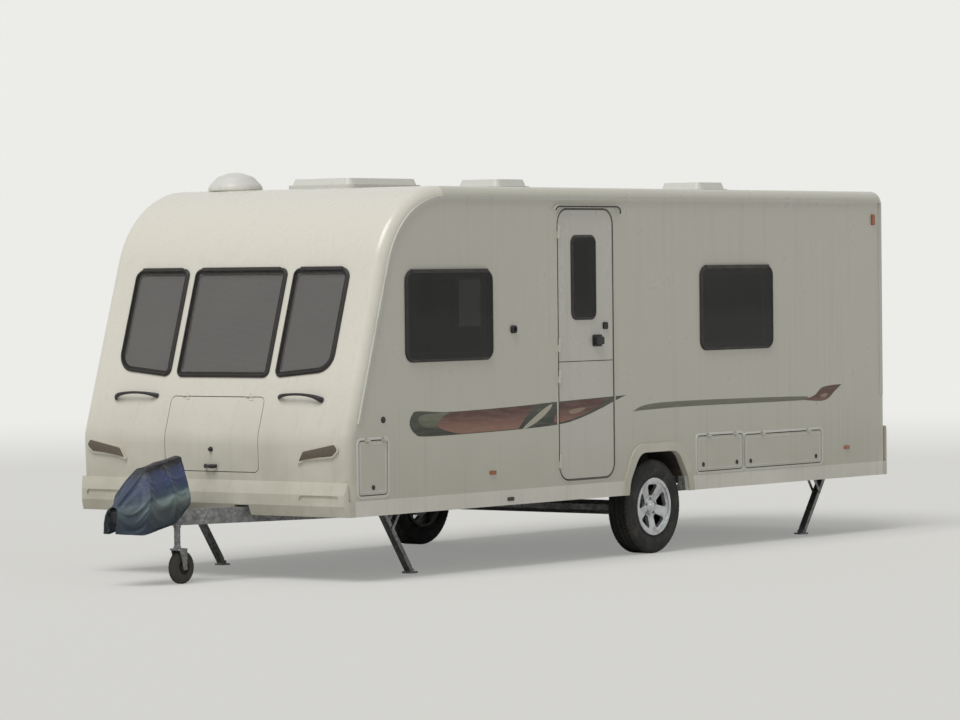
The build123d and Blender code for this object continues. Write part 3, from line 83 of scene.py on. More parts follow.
LEFT = face((FOOT_X, SIDE_Y, 0), (-1, 0, 0), (0, 0, 1), (0, 1, 0))
RIGHT = face((FOOT_X, -SIDE_Y, 0), (-1, 0, 0), (0, 0, 1), (0, -1, 0))
FRONT = face((KNEE_X, 0, KNEE_HEIGHT), (0, 1, 0), (-math.sin(SLOPE), 0, math.cos(SLOPE)),
             (math.cos(SLOPE), 0, math.sin(SLOPE)))
LOW_FRONT = face((FOOT_X, 0, SKIRT_LOW), (0, 1, 0), (LEAN, 0, 1), (1, 0, -LEAN))
REAR = face((REAR_X, 0, 0), (0, -1, 0), (0, 0, 1), (-1, 0, 0))


def on_face(where, across, up, out=0.0):
    origin, right, above, outward = where
    return origin + right * across + above * up + outward * out


def up_slope(height):
    """Distance up the front panel's slope from the knee."""
    return (height - KNEE_HEIGHT) / math.cos(SLOPE)


# Node graphs

class Graph:
    """Adds and joins nodes in one tree. Any value may be a number, a colour or another node's output."""

    def __init__(self, tree):
        self.tree = tree

    def feed(self, socket, value):
        if isinstance(value, bpy.types.NodeSocket):
            self.tree.links.new(value, socket)
        elif socket.type == "RGBA":
            socket.default_value = (*value, 1.0)
        else:
            socket.default_value = value

    def put(self, kind, inputs=(), **settings):
        """A new node with its settings, and with inputs given by place or name."""
        node = self.tree.nodes.new(kind)
        for key, value in settings.items():
            setattr(node, key, value)
        for key, value in dict(inputs).items():
            self.feed(node.inputs[key], value)
        return node

    def math(self, operation, first, second=0.0, clamp=False):
        pair = {0: first, 1: second}
        return self.put("ShaderNodeMath", pair, operation=operation, use_clamp=clamp).outputs[0]

    def times(self, first, second):
        return self.math("MULTIPLY", first, second)

    def plus(self, first, second):
        return self.math("ADD", first, second)

    def mix(self, factor, first, second):
        return self.put("ShaderNodeMix", {0: factor, 6: first, 7: second}, data_type="RGBA").outputs[2]

    def ramp(self, value, stops):
        """Colour by value, from pairs of place (0 to 1) and linear colour."""
        node = self.put("ShaderNodeValToRGB", {0: value})
        ends = node.color_ramp.elements
        while len(ends) < len(stops):
            ends.new(0.5)
        for end, (place, colour) in zip(ends, stops):
            end.position = place
            end.color = (*colour, 1.0)
        return node.outputs[0]

    def span(self, value, low, high, new_low=0.0, new_high=1.0, kind="SMOOTHSTEP"):
        """The value's range low..high becomes new_low..new_high, clamped."""
        inputs = enumerate((value, low, high, new_low, new_high))
        return self.put("ShaderNodeMapRange", inputs, interpolation_type=kind).outputs[0]

    def place(self, stretch=None):
        """Position on the piece, stretched along each axis."""
        source = self.put("ShaderNodeTexCoord").outputs["Object"]
        if stretch is None:
            return source
        return self.put("ShaderNodeMapping", {"Vector": source, "Scale": stretch}).outputs[0]

    def noise(self, vector, scale, detail=3.0, roughness=0.55):
        inputs = {"Vector": vector, "Scale": scale, "Detail": detail, "Roughness": roughness}
        return self.put("ShaderNodeTexNoise", inputs).outputs["Fac"]

    def cells(self, scale):
        return self.put("ShaderNodeTexVoronoi", {"Vector": self.place(), "Scale": scale}).outputs

    def axes(self, vector):
        return self.put("ShaderNodeSeparateXYZ", {0: vector}).outputs

    def effect(self, group, **values):
        """Places a group, its inputs given with underscores for spaces."""
        inputs = {label.replace("_", " "): value for label, value in values.items()}
        return self.put("ShaderNodeGroup", inputs, node_tree=group).outputs


def new_effect(name, inputs, outputs):
    """A node group with named inputs and outputs. Returns its graph, input sockets and output sockets."""
    tree = bpy.data.node_groups.new(name, "ShaderNodeTree")
    for label, value in inputs.items():
        kind = "Color" if isinstance(value, tuple) else "Float"
        socket = tree.interface.new_socket(label, in_out="INPUT", socket_type="NodeSocket" + kind)
        socket.default_value = (*value, 1.0) if kind == "Color" else value
    for label in outputs:
        kind = "Color" if label == "Colour" else "Float"
        tree.interface.new_socket(label, in_out="OUTPUT", socket_type="NodeSocket" + kind)
    graph = Graph(tree)
    return graph, graph.put("NodeGroupInput").outputs, graph.put("NodeGroupOutput").inputs


def make_road_film():
    """Road film: blotchy grime, thicker low down, with rain streaks that run down from above. On the front
    moulding the thick low part is partly painted shade.
    """
    graph, given, out = new_effect("road film", {
        "Colour": (0.8, 0.8, 0.8), "Grime Colour": (0.2, 0.19, 0.13), "Low Grime": 0.4, "Streaks": 0.2,
        "Grime Top": 1.1,
    }, ["Colour", "Mask"])
    height = graph.axes(graph.place())["Z"]
    blotch = graph.noise(graph.place(), 2.3, 5.0)
    low = graph.times(graph.span(height, given["Grime Top"], 0.35), blotch)
    low = graph.times(low, given["Low Grime"])
    streak = graph.span(graph.noise(graph.place((26, 26, 0.7)), 1.0, 4.0, 0.65), 0.52, 0.80)
    normal = graph.put("ShaderNodeNewGeometry").outputs["Normal"]
    upright = graph.span(graph.math("ABSOLUTE", graph.axes(normal)["Z"]), 0.75, 0.35)
    streak = graph.times(streak, graph.times(upright, given["Streaks"]))
    mask = graph.math("ADD", low, streak, clamp=True)
    graph.feed(out["Colour"], graph.mix(mask, given["Colour"], given["Grime Colour"]))
    graph.feed(out["Mask"], mask)
    return graph.tree


def make_sheen_change():
    """Roughness that varies in patches between two values, and a fine height for bump."""
    graph, given, out = new_effect("sheen change", {
        "Scale": 9.0, "Smooth": 0.2, "Rough": 0.4, "Grain Scale": 300.0,
    }, ["Roughness", "Height"])
    place = graph.place()
    patches = graph.noise(place, given["Scale"], 4.0)
    sheen = graph.span(patches, 0.3, 0.7, given["Smooth"], given["Rough"], "LINEAR")
    graph.feed(out["Roughness"], sheen)
    graph.feed(out["Height"], graph.noise(place, given["Grain Scale"], 2.0))
    return graph.tree


def make_zinc_flowers():
    """Zinc crystals of hot-dip galvanising, dulled by white bloom, with rust at a few spots."""
    graph, given, out = new_effect("zinc flowers", {
        "Bright": (0.42, 0.43, 0.44), "Dull": (0.22, 0.23, 0.24), "Rust Colour": (0.13, 0.05, 0.02),
        "Rust": 0.25,
    }, ["Colour", "Roughness", "Height"])
    flower = graph.axes(graph.cells(55.0)["Color"])["X"]
    zinc = graph.mix(flower, given["Dull"], given["Bright"])
    patch = graph.noise(graph.place(), 7.0, 5.0, 0.7)
    rust = graph.times(graph.span(patch, 0.58, 0.72), given["Rust"])
    graph.feed(out["Colour"], graph.mix(rust, zinc, given["Rust Colour"]))
    graph.feed(out["Roughness"], graph.span(patch, 0.2, 0.8, 0.38, 0.75))
    graph.feed(out["Height"], graph.plus(flower, graph.noise(graph.place(), 120.0)))
    return graph.tree


def make_weave():
    """Plain weave: crossing threads as a height, and a mottle for the colour."""
    graph, given, out = new_effect("plain weave", {
        "Threads": 500.0, "Mottle Scale": 6.0,
    }, ["Height", "Mottle"])
    axes = graph.axes(graph.place())
    warp = graph.math("SINE", graph.times(graph.plus(axes["X"], axes["Y"]), given["Threads"]))
    weft = graph.math("SUBTRACT", axes["Z"], axes["X"])
    weft = graph.math("SINE", graph.times(weft, given["Threads"]))
    graph.feed(out["Height"], graph.times(warp, weft))
    graph.feed(out["Mottle"], graph.noise(graph.place(), given["Mottle Scale"], 6.0, 0.65))
    return graph.tree


ROAD_FILM = make_road_film()
SHEEN_CHANGE = make_sheen_change()
ZINC_FLOWERS = make_zinc_flowers()
PLAIN_WEAVE = make_weave()


def new_finish(name, view_colour, roughness=0.5, metallic=0.0):
    """A material with its shader. Returns the material, its graph and the shader's inputs."""
    material = bpy.data.materials.new(name)
    material.use_nodes = True
    material.diffuse_color = (*view_colour, 1)
    shader = material.node_tree.nodes["Principled BSDF"]
    shader.inputs["Roughness"].default_value = roughness
    shader.inputs["Metallic"].default_value = metallic
    return material, Graph(material.node_tree), shader.inputs


def surface(graph, into, colour, roughness=None, relief=None):
    """Joins colour, roughness and relief (height, strength and distance of the bump) to the shader."""
    graph.feed(into["Base Color"], colour)
    if roughness is not None:
        graph.feed(into["Roughness"], roughness)
    if relief:
        inputs = zip(("Height", "Strength", "Distance"), relief)
        graph.feed(into["Normal"], graph.put("ShaderNodeBump", inputs).outputs[0])


def rgb(red, green, blue):
    """Colour of 0 to 255 screen values, as linear light."""
    return tuple(((v / 255 + 0.055) / 1.055) ** 2.4 if v > 10 else v / 3294.6 for v in (red, green, blue))


# Colour of road grime, also the colour of the painted shade low on the front moulding
GRIME_AND_SHADE = rgb(128, 124, 96)


def gloss_finish(name, colour, low, streaks, smooth, rough, coat=0.0, inside=None, top=1.15):
    """Painted or moulded gloss surface with road film, which low on the front moulding is partly painted
    shade. Inside the body it may have another colour.
    """
    material, graph, into = new_finish(name, colour)
    base = colour
    if inside:
        axes = graph.axes(graph.place())
        within = graph.math("LESS_THAN", graph.math("ABSOLUTE", axes["Y"]), SIDE_Y - WALL)
        within = graph.times(within, graph.math("LESS_THAN", axes["Z"], ROOF_TOP - WALL))
        base = graph.mix(within, base, inside)
    film = graph.effect(ROAD_FILM, Colour=base, Grime_Colour=GRIME_AND_SHADE, Low_Grime=low, Streaks=streaks,
                        Grime_Top=top)
    sheen = graph.effect(SHEEN_CHANGE, Scale=5.0, Smooth=smooth, Rough=rough, Grain_Scale=90.0)
    roughness = graph.plus(sheen["Roughness"], graph.times(film["Mask"], 0.5))
    surface(graph, into, film["Colour"], roughness, (sheen["Height"], 0.04, 0.002))
    into["Coat Weight"].default_value = coat
    into["Coat Roughness"].default_value = 0.12
    return material


def plastic_finish(name, colour, rough=0.55, grain=700.0, strength=0.25):
    """Grained plastic or rubber, dusty in patches."""
    material, graph, into = new_finish(name, colour)
    film = graph.effect(ROAD_FILM, Colour=colour, Grime_Colour=rgb(120, 116, 100), Low_Grime=0.35,
                        Streaks=0.08, Grime_Top=1.0)
    sheen = graph.effect(SHEEN_CHANGE, Scale=14.0, Smooth=rough - 0.12, Rough=rough + 0.15,
                         Grain_Scale=grain)
    surface(graph, into, film["Colour"], sheen["Roughness"], (sheen["Height"], strength, 0.0006))
    return material


def zinc_finish():
    material, graph, into = new_finish("galvanised steel", (0.4, 0.41, 0.42), metallic=0.85)
    zinc = graph.effect(ZINC_FLOWERS, Rust=0.3)
    film = graph.effect(ROAD_FILM, Colour=zinc["Colour"], Grime_Colour=rgb(70, 62, 48), Low_Grime=0.5,
                        Streaks=0.1, Grime_Top=0.6)
    surface(graph, into, film["Colour"], zinc["Roughness"], (zinc["Height"], 0.12, 0.001))
    return material


def casting_finish():
    """Black painted casting, chipped to rust in small spots."""
    material, graph, into = new_finish("painted casting", (0.05, 0.05, 0.055), metallic=0.1)
    chips = graph.span(graph.noise(graph.place(), 38.0, 6.0, 0.75), 0.62, 0.68)
    paint = graph.mix(chips, rgb(44, 45, 48), rgb(110, 62, 38))
    sheen = graph.effect(SHEEN_CHANGE, Scale=30.0, Smooth=0.35, Rough=0.7, Grain_Scale=160.0)
    surface(graph, into, paint, sheen["Roughness"], (sheen["Height"], 0.4, 0.0015))
    return material


def alloy_finish():
    """Silver painted alloy, bright on the spokes, with painted shade where the wheel lies deeper behind them,
    and patches of dust.
    """
    material, graph, into = new_finish("silver wheel paint", (0.6, 0.61, 0.63), metallic=0.75)
    # Painted shade: the deeper a place lies behind the spoke face, the more it is shaded; the grit patches
    # are dust
    depth = graph.math("ABSOLUTE", graph.axes(graph.place())["Y"])
    dust = graph.math("SUBTRACT", 1.0, graph.span(depth, 1.036, 1.052))
    grit = graph.span(graph.noise(graph.place(), 16.0, 5.0), 0.45, 0.8)
    dust = graph.math("MAXIMUM", dust, graph.times(grit, 0.5))
    sheen = graph.effect(SHEEN_CHANGE, Scale=20.0, Smooth=0.24, Rough=0.42, Grain_Scale=400.0)
    surface(graph, into, graph.mix(dust, rgb(205, 207, 210), rgb(48, 45, 42)), sheen["Roughness"],
            (sheen["Height"], 0.05, 0.0005))
    return material


def tyre_finish():
    """Road tyre: moulded rings round the sidewall, dried mud in the low places."""
    material, graph, into = new_finish("tyre rubber", (0.03, 0.03, 0.03))
    axes = graph.axes(graph.place())
    ahead, above = (graph.math("POWER", graph.math("SUBTRACT", axes[axis], centre), 2.0)
                    for axis, centre in (("X", WHEEL_X), ("Z", WHEEL_Z)))
    radius = graph.math("SQRT", graph.plus(ahead, above))
    rings = graph.math("SINE", graph.times(radius, 950.0))
    rings = graph.times(rings, graph.math("LESS_THAN", radius, 0.285))
    sheen = graph.effect(SHEEN_CHANGE, Scale=12.0, Smooth=0.6, Rough=0.9, Grain_Scale=350.0)
    mud = graph.span(graph.noise(graph.place(), 9.0, 6.0, 0.7), 0.5, 0.75, 0.0, 0.55)
    height = graph.plus(graph.times(rings, 0.4), sheen["Height"])
    surface(graph, into, graph.mix(mud, rgb(38, 38, 39), rgb(98, 90, 74)), sheen["Roughness"],
            (height, 0.35, 0.001))
    return material


def pane_finish(name, colour, see_through, dusty=0.25, shine=0.6):
    """Tinted acrylic with a film of dust, less see-through at a glancing angle."""
    material, graph, into = new_finish(name, colour, 0.03)
    facing = graph.put("ShaderNodeLayerWeight").outputs["Facing"]
    dust = graph.span(graph.noise(graph.place(), 3.0, 5.0), 0.4, 0.9, 0.0, dusty)
    surface(graph, into, graph.mix(dust, colour, rgb(120, 118, 108)))
    graph.feed(into["Alpha"], graph.span(facing, 0.45, 1.0, 1.0 - see_through, 1.0))
    into["Specular IOR Level"].default_value = shine
    return material


def lens_finish(name, colour):
    """Lamp lens over a prismatic reflector, with painted shade deepening towards the edges of its prisms."""
    material, graph, into = new_finish(name, colour, 0.14)
    prism = graph.cells(130.0)["Distance"]
    # Painted shade of the reflector's facets, deepest at each prism's edge
    prism_shade = tuple(v * 0.55 for v in colour)
    surface(graph, into, graph.mix(graph.span(prism, 0.0, 0.6), colour, prism_shade), None, (prism, 0.25, 0.002))
    into["Coat Weight"].default_value = 0.6
    into["Coat Roughness"].default_value = 0.04
    return material


def stripe_finish(name, top, low, change_from, change_to):
    """Vinyl stripe whose colour changes with height, weathered at random."""
    material, graph, into = new_finish(name, top, 0.3)
    blend = graph.span(graph.axes(graph.place())["Z"], change_from, change_to)
    worn = graph.span(graph.noise(graph.place((3, 3, 22)), 2.0, 5.0), 0.40, 0.80, 0.0, 0.25)
    colour = graph.mix(worn, graph.mix(blend, low, top), rgb(176, 168, 150))
    surface(graph, into, colour, graph.plus(worn, 0.28))
    return material


COVER_BANDS = [
    (0.00, rgb(20, 46, 58)), (0.07, rgb(42, 54, 60)), (0.17, rgb(68, 76, 80)), (0.25, rgb(104, 122, 120)),
    (0.34, rgb(112, 130, 132)), (0.41, rgb(38, 64, 78)), (0.53, rgb(28, 46, 80)), (0.66, rgb(48, 62, 100)),
    (0.79, rgb(36, 47, 80)), (0.84, rgb(16, 18, 30)),
]


def cover_finish():
    """Coated woven cloth: lighter in a band above the hem, dark blue-green below it, dark along the ridge."""
    material, graph, into = new_finish("hitch cover cloth", (0.03, 0.07, 0.2))
    weave = graph.effect(PLAIN_WEAVE, Threads=1400.0, Mottle_Scale=7.0)
    axes = graph.axes(graph.place())
    level = graph.plus(axes["Z"], graph.times(axes["X"], 0.195))
    level = graph.span(graph.plus(level, graph.times(weave["Mottle"], 0.05)), 1.030, 1.515)
    nose = graph.span(axes["X"], FOOT_X + 0.68, FOOT_X + 0.80, 0.0, 0.55)
    cloth = graph.mix(nose, graph.ramp(level, COVER_BANDS), rgb(34, 52, 72))
    rubbed = graph.span(graph.noise(graph.place(), 26.0, 5.0, 0.7), 0.56, 0.78, 0.0, 0.20)
    roughness = graph.plus(graph.times(weave["Mottle"], 0.3), 0.35)
    surface(graph, into, graph.mix(rubbed, cloth, rgb(104, 112, 120)), roughness,
            (weave["Height"], 0.25, 0.0005))
    into["Sheen Weight"].default_value = 0.2
    return material


def cushion_finish(name, first, second):
    material, graph, into = new_finish(name, first, 0.9)
    weave = graph.effect(PLAIN_WEAVE, Threads=2200.0, Mottle_Scale=60.0)
    surface(graph, into, graph.mix(weave["Mottle"], first, second), None, (weave["Height"], 0.3, 0.0006))
    into["Sheen Weight"].default_value = 0.3
    return material


def board_finish(name, light, dark):
    """Laminated furniture board with a long grain."""
    material, graph, into = new_finish(name, light, 0.42)
    grain = graph.noise(graph.place((2, 30, 30)), 2.0, 6.0, 0.7)
    surface(graph, into, graph.mix(grain, dark, light), None, (grain, 0.08, 0.001))
    return material


LINING = rgb(196, 186, 166)
FINISHES = {
    "cream_skin": gloss_finish("side wall enamel", rgb(208, 206, 194), 0.26, 0.13, 0.26, 0.40, 0.15, LINING),
    "door_skin": gloss_finish("door enamel", rgb(210, 208, 199), 0.26, 0.14, 0.24, 0.38, 0.15, LINING),
    # Front moulding: thick road film up to 1.45 m, partly grime and partly painted shade of the low front
    # below the knee
    "cream_moulding": gloss_finish("moulded gloss panel", rgb(232, 228, 216), 0.80, 0.12, 0.18, 0.34, 0.3,
                                   None, 1.45),
    "skirt_metal": gloss_finish("painted skirt", rgb(240, 238, 229), 0.34, 0.14, 0.30, 0.45, 0.1),
    "white_plastic": gloss_finish("white plastic", rgb(226, 226, 220), 0.3, 0.2, 0.30, 0.45),
    "window_acrylic": pane_finish("tinted acrylic", rgb(30, 30, 32), 0.70),
    "black_plastic": plastic_finish("black grained plastic", rgb(38, 38, 40)),
    "black_rubber": plastic_finish("solid rubber", rgb(34, 34, 34), 0.7),
    "clear_lens": lens_finish("smoked front lens", rgb(112, 98, 78)),
    "red_lens": lens_finish("red lens", rgb(150, 22, 20)),
    "amber_lens": lens_finish("amber lens", rgb(196, 104, 36)),
    "rail_aluminium": gloss_finish("anodised rail", rgb(206, 205, 198), 0.1, 0.3, 0.3, 0.5),
    "galvanised_steel": zinc_finish(),
    "coupling_steel": casting_finish(),
    "wheel_alloy": alloy_finish(),
    "tyre_rubber": tyre_finish(),
    "cover_fabric": cover_finish(),
    "floor_board": board_finish("weathered floor board", rgb(92, 84, 72), rgb(58, 52, 44)),
    "furniture_board": board_finish("furniture laminate", rgb(176, 136, 96), rgb(120, 84, 54)),
    "seat_fabric": cushion_finish("seat cloth", rgb(150, 134, 112), rgb(108, 94, 78)),
}
SEAL = plastic_finish("black rubber seal", rgb(42, 39, 36), 0.5)
BORDER = plastic_finish("printed black border", rgb(14, 14, 15), 0.35, 300.0, 0.05)
FRONT_BORDER = plastic_finish("printed front border", rgb(40, 36, 33), 0.35, 300.0, 0.05)
SMOKED = pane_finish("smoked acrylic", rgb(16, 16, 15), 0.34, 0.10, 0.32)
REVERSING = lens_finish("reversing lens", rgb(196, 196, 190))
BLIND = cushion_finish("pleated blind", rgb(222, 218, 214), rgb(194, 190, 186))
CASSETTE = gloss_finish("window cassette", rgb(196, 192, 180), 0.0, 0.0, 0.35, 0.5)
STRIPE_GREEN = stripe_finish("dark green stripe", rgb(66, 72, 58), rgb(38, 44, 34), 0.92, 1.05)
STRIPE_OLIVE = stripe_finish("olive stripe", rgb(120, 122, 104), rgb(98, 100, 82), 0.98, 1.06)
STRIPE_RED = stripe_finish("red brown stripe", rgb(88, 50, 40), rgb(150, 108, 92), 0.92, 1.05)
BRIGHT = gloss_finish("bright fastener", rgb(170, 172, 174), 0.2, 0.0, 0.25, 0.4)


# Outlines and mesh makers

def corner_fillet(point, before, after, radius, steps):
    """Points of the round that replaces one corner of an outline."""
    toward, away = (before - point).normalized(), (after - point).normalized()
    half = max(toward.angle(away) / 2, 0.02)
    middle = toward + away
    if middle.length < 1e-6:
        return [point.copy() for _ in range(steps + 1)]
    middle.normalize()
    tangent, centre = radius / math.tan(half), point + middle * (radius / math.sin(half))
    first, last = point + toward * tangent - centre, point + away * tangent - centre
    return [centre + first.lerp(last, index / steps).normalized() * radius for index in range(steps + 1)]


def filleted(points, radii, steps=7):
    """Corner points and their radii, as one closed smooth outline."""
    corners = [Vector(p) for p in points]
    outline = []
    for index, point in enumerate(corners):
        before, after = corners[index - 1], corners[(index + 1) % len(corners)]
        outline += corner_fillet(point, before, after, max(radii[index], 0.0004), steps)
    return outline


def moved_in(points, radii, distance):
    """A convex outline moved inwards, or outwards by a negative distance."""
    corners = [Vector(p) for p in points]
    moved = []
    for index, point in enumerate(corners):
        toward = (corners[index - 1] - point).normalized()
        away = (corners[(index + 1) % len(corners)] - point).normalized()
        half = toward.angle(away) / 2
        moved.append(point + (toward + away).normalized() * (distance / math.sin(half)))
    return moved, [max(r - distance, 0.0004) for r in radii]


def rounded_box(start, end, low, high, radius):
    """Corners and radii of a rounded rectangle."""
    return [(start, low), (end, low), (end, high), (start, high)], [radius] * 4


def in_scene(name, data):
    thing = bpy.data.objects.new(name, data)
    bpy.context.scene.collection.objects.link(thing)
    return thing


def finish_mesh(name, build, sharp):
    """Turns a bmesh into a mesh with even normals, smooth but for edges sharper than an angle."""
    bmesh.ops.remove_doubles(build, verts=build.verts, dist=1e-5)
    bmesh.ops.recalc_face_normals(build, faces=build.faces)
    for item in build.faces:
        item.smooth = True
    for edge in build.edges:
        edge.smooth = len(edge.link_faces) != 2 or edge.calc_face_angle(0) < math.radians(sharp)
    mesh = bpy.data.meshes.new(name)
    build.to_mesh(mesh)
    build.free()
    return mesh


def add_piece(name, build, finish, body="root", sharp=32.0):
    """A piece that rides on a body. A finish given by name is looked up among the finishes."""
    mesh = finish_mesh(name, build, sharp)
    piece = in_scene(name, mesh)
    named = isinstance(finish, str)
    mesh.materials.append(FINISHES[finish] if named else finish)
    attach(piece, body)
    return piece


def skin_loops(build, loops, closed_section):
    """Joins loops of the same length one after another with quads."""
    rings = [[build.verts.new(p) for p in loop] for loop in loops]
    pairs = list(zip(rings, rings[1:])) + ([(rings[-1], rings[0])] if closed_section else [])
    for first, second in pairs:
        for index in range(len(first)):
            after = (index + 1) % len(first)
            build.faces.new((first[index], first[after], second[after], second[index]))
    return rings


def fill_rows(build, rows):
    """Quads between rows of vertices."""
    for first, second in zip(rows, rows[1:]):
        for k in range(len(first) - 1):
            build.faces.new((first[k], first[k + 1], second[k + 1], second[k]))


def capped_skin(build, loops):
    """Joins loops one after another and closes both ends."""
    rings = skin_loops(build, loops, False)
    build.faces.new(rings[0])
    build.faces.new(rings[-1])


def mould(build, outline, section, where, cap=False):
    """Adds a seal, frame or plate that follows an outline. The section gives pairs of inset and rise."""
    loops = []
    for inset, rise in section:
        loops.append([on_face(where, p.x, p.y, rise) for p in filleted(*moved_in(*outline, inset))])
    rings = skin_loops(build, loops, not cap)
    if cap:
        build.faces.new(rings[-1])
        build.faces.new(list(reversed(rings[0])))


def moulded(name, outline, section, where, finish, body="root", cap=False):
    """A piece of its own from such a moulding."""
    build = bmesh.new()
    mould(build, outline, section, where, cap)
    return add_piece(name, build, finish, body)


def turned(build, profile, centre, axis, steps=32, start=0.0):
    """Revolves pairs of reach along the axis and radius. Ends with no radius close themselves."""
    axis = Vector(axis).normalized()
    side = axis.orthogonal().normalized()
    other = axis.cross(side)
    loops = []
    for reach, radius in profile:
        loop = []
        for index in range(steps):
            angle = start + 2 * math.pi * index / steps
            spoke = side * math.cos(angle) + other * math.sin(angle)
            loop.append(Vector(centre) + axis * reach + spoke * max(radius, 1e-5))
        loops.append(loop)
    capped_skin(build, loops)


def ellipse(centre, side, other, half, thick, steps):
    angles = (2 * math.pi * index / steps for index in range(steps))
    return [centre + side * (half * math.cos(a)) + other * (thick * math.sin(a)) for a in angles]


def tube(build, points, radius, steps=12):
    """Round bar along a list of points, its ends closed."""
    points = [Vector(p) for p in points]
    loops = []
    side = None
    for index, point in enumerate(points):
        ahead = points[min(index + 1, len(points) - 1)] - points[max(index - 1, 0)]
        ahead.normalize()
        side = ahead.orthogonal() if side is None else side - ahead * side.dot(ahead)
        side.normalize()
        loops.append(ellipse(point, side, ahead.cross(side), radius, radius, steps))
    capped_skin(build, loops)


def smooth_line(points, steps=10, closed=True):
    """A curve through points. A point given twice stays a sharp corner."""
    points = [Vector(p) for p in points]
    count = len(points)
    line = []
    for index in range(count if closed else count - 1):
        p0 = points[(index - 1) % count] if closed or index else points[0]
        p1, p2 = points[index], points[(index + 1) % count]
        p3 = points[(index + 2) % count] if closed or index + 2 < count else p2
        if (p2 - p1).length < 1e-6:
            continue
        a = p1 if (p1 - p0).length < 1e-6 else p0
        b = p2 if (p3 - p2).length < 1e-6 else p3
        for step in range(steps):
            t = step / steps
            line.append(0.5 * ((2 * p1) + (p2 - a) * t + (2 * a - 5 * p1 + 4 * p2 - b) * t * t
                               + (3 * p1 - a - 3 * p2 + b) * t ** 3))
    return line


def apply_finish(node, material):
    slots = frame["nodes"][node].material_slots
    if not slots:
        frame["nodes"][node].data.materials.append(material)
    for slot in slots:
        slot.material = material


for part in frame["record"]["subparts"]:
    apply_finish(part["node"], FINISHES[part["material_slot"]])
for node in ("cabin_windows", "door_window"):
    apply_finish(node, SMOKED)
apply_finish("front_lamps", FINISHES["cream_moulding"])


# Windows

WINDOWS = [
    ("lounge_window_left", LEFT, 0.584, 1.485, 1.393, 1.967, 0.062),
    ("bunk_window_left", LEFT, 3.888, 4.779, 1.400, 1.974, 0.062),
    ("lounge_window_right", RIGHT, 0.584, 1.485, 1.393, 1.967, 0.062),
    ("kitchen_window_right", RIGHT, 2.160, 2.960, 1.500, 1.974, 0.062),
    ("washroom_window_right", RIGHT, 3.950, 4.450, 1.500, 1.974, 0.062),
    ("rear_window", REAR, -0.590, 0.590, 1.420, 1.980, 0.060),
]
SEAL_SECTION = [(0.002, 0.0), (-0.009, 0.0), (-0.010, 0.006), (-0.004, 0.013), (0.002, 0.0175),
                (0.007, 0.0172), (0.008, 0.0162), (0.002, 0.0155)]
SEAL_RISE = 0.016                # that the section is drawn for
CASSETTE_SECTION = [(0.018, -0.034), (0.018, -0.050), (0.050, -0.052), (0.056, -0.042), (0.050, -0.034)]
FRONT_LOW, FRONT_HIGH = up_slope(1.304), up_slope(1.988)
NARROW_BORDER, WIDE_BORDER = 0.026, 0.040


def window_trim(name, outline, where, body="root", rise=SEAL_RISE, border=NARROW_BORDER):
    """Rubber seal and printed border and, on the body, the inner cassette and the hinge rail above."""
    section = [(inset, height * rise / SEAL_RISE) for inset, height in SEAL_SECTION]
    moulded(name + "_seal", outline, section, where, SEAL, body)
    top, low = rise * 0.35, rise * 0.30
    moulded(name + "_border", outline, [(0.001, top), (border, top), (border, low), (0.001, low)], where,
            FRONT_BORDER if where is FRONT else BORDER, body)
    if body == "root":
        moulded(name + "_cassette", outline, CASSETTE_SECTION, where, CASSETTE)
        across, head = [p[0] for p in outline[0]], max(p[1] for p in outline[0])
        rail = rounded_box(min(across) + 0.05, max(across) - 0.05, head - 0.012, head + 0.014, 0.006)
        moulded(name + "_hinge_rail", rail, [(0.0, 0.001), (0.0, rise + 0.002), (0.004, rise + 0.006)], where,
                SEAL, cap=True)


for name, where, start, end, low, high, radius in WINDOWS:
    window_trim(name, rounded_box(start, end, low, high, radius), where, border=WIDE_BORDER)

outer_foot = FRONT_LOW + 0.045
FRONT_OUTLINES = {
    "front_window_centre": rounded_box(-0.385, 0.385, FRONT_LOW, FRONT_HIGH, 0.04),
    "front_window_left": ([(0.455, FRONT_LOW), (0.905, outer_foot), (0.905, FRONT_HIGH), (0.455, FRONT_HIGH)],
                          [0.04, 0.12, 0.06, 0.04]),
}
points, radii = FRONT_OUTLINES["front_window_left"]
FRONT_OUTLINES["front_window_right"] = [(-across, up) for across, up in reversed(points)], radii[::-1]
for name, outline in FRONT_OUTLINES.items():
    window_trim(name, outline, FRONT)
window_trim("door_window_trim", rounded_box(2.374, 2.640, 1.638, 2.190, 0.046), LEFT, "door_upper", 0.010)

BLIND_DEPTH = 0.010
BLIND_INSET = 0.0275
PLEATS = 26
PLEAT_RISE = 0.004
BLIND_ACROSS = 12                # quads across a pleat


def pleated_blind(name, outline):
    """Pleated blind drawn down behind a front window."""
    points = moved_in(*outline, BLIND_INSET)[0]
    left, right = min(p.x for p in points), max(p.x for p in points)
    foot, head = min(p.y for p in points), max(p.y for p in points)
    build = bmesh.new()
    rows = []
    for index in range(2 * PLEATS + 1):
        level = foot + (head - foot) * index / (2 * PLEATS)
        depth = PLEAT_RISE * (1 if index % 2 else -1) - BLIND_DEPTH
        rows.append([build.verts.new(on_face(FRONT, left + (right - left) * k / BLIND_ACROSS, level,
                                             depth + 0.0015 * math.sin(index * 1.7 + k)))
                     for k in range(BLIND_ACROSS + 1)])
    fill_rows(build, rows)
    piece = add_piece(name, build, BLIND, sharp=170)


for name, outline in FRONT_OUTLINES.items():
    pleated_blind(name.replace("window", "blind"), outline)


# Door and hatches

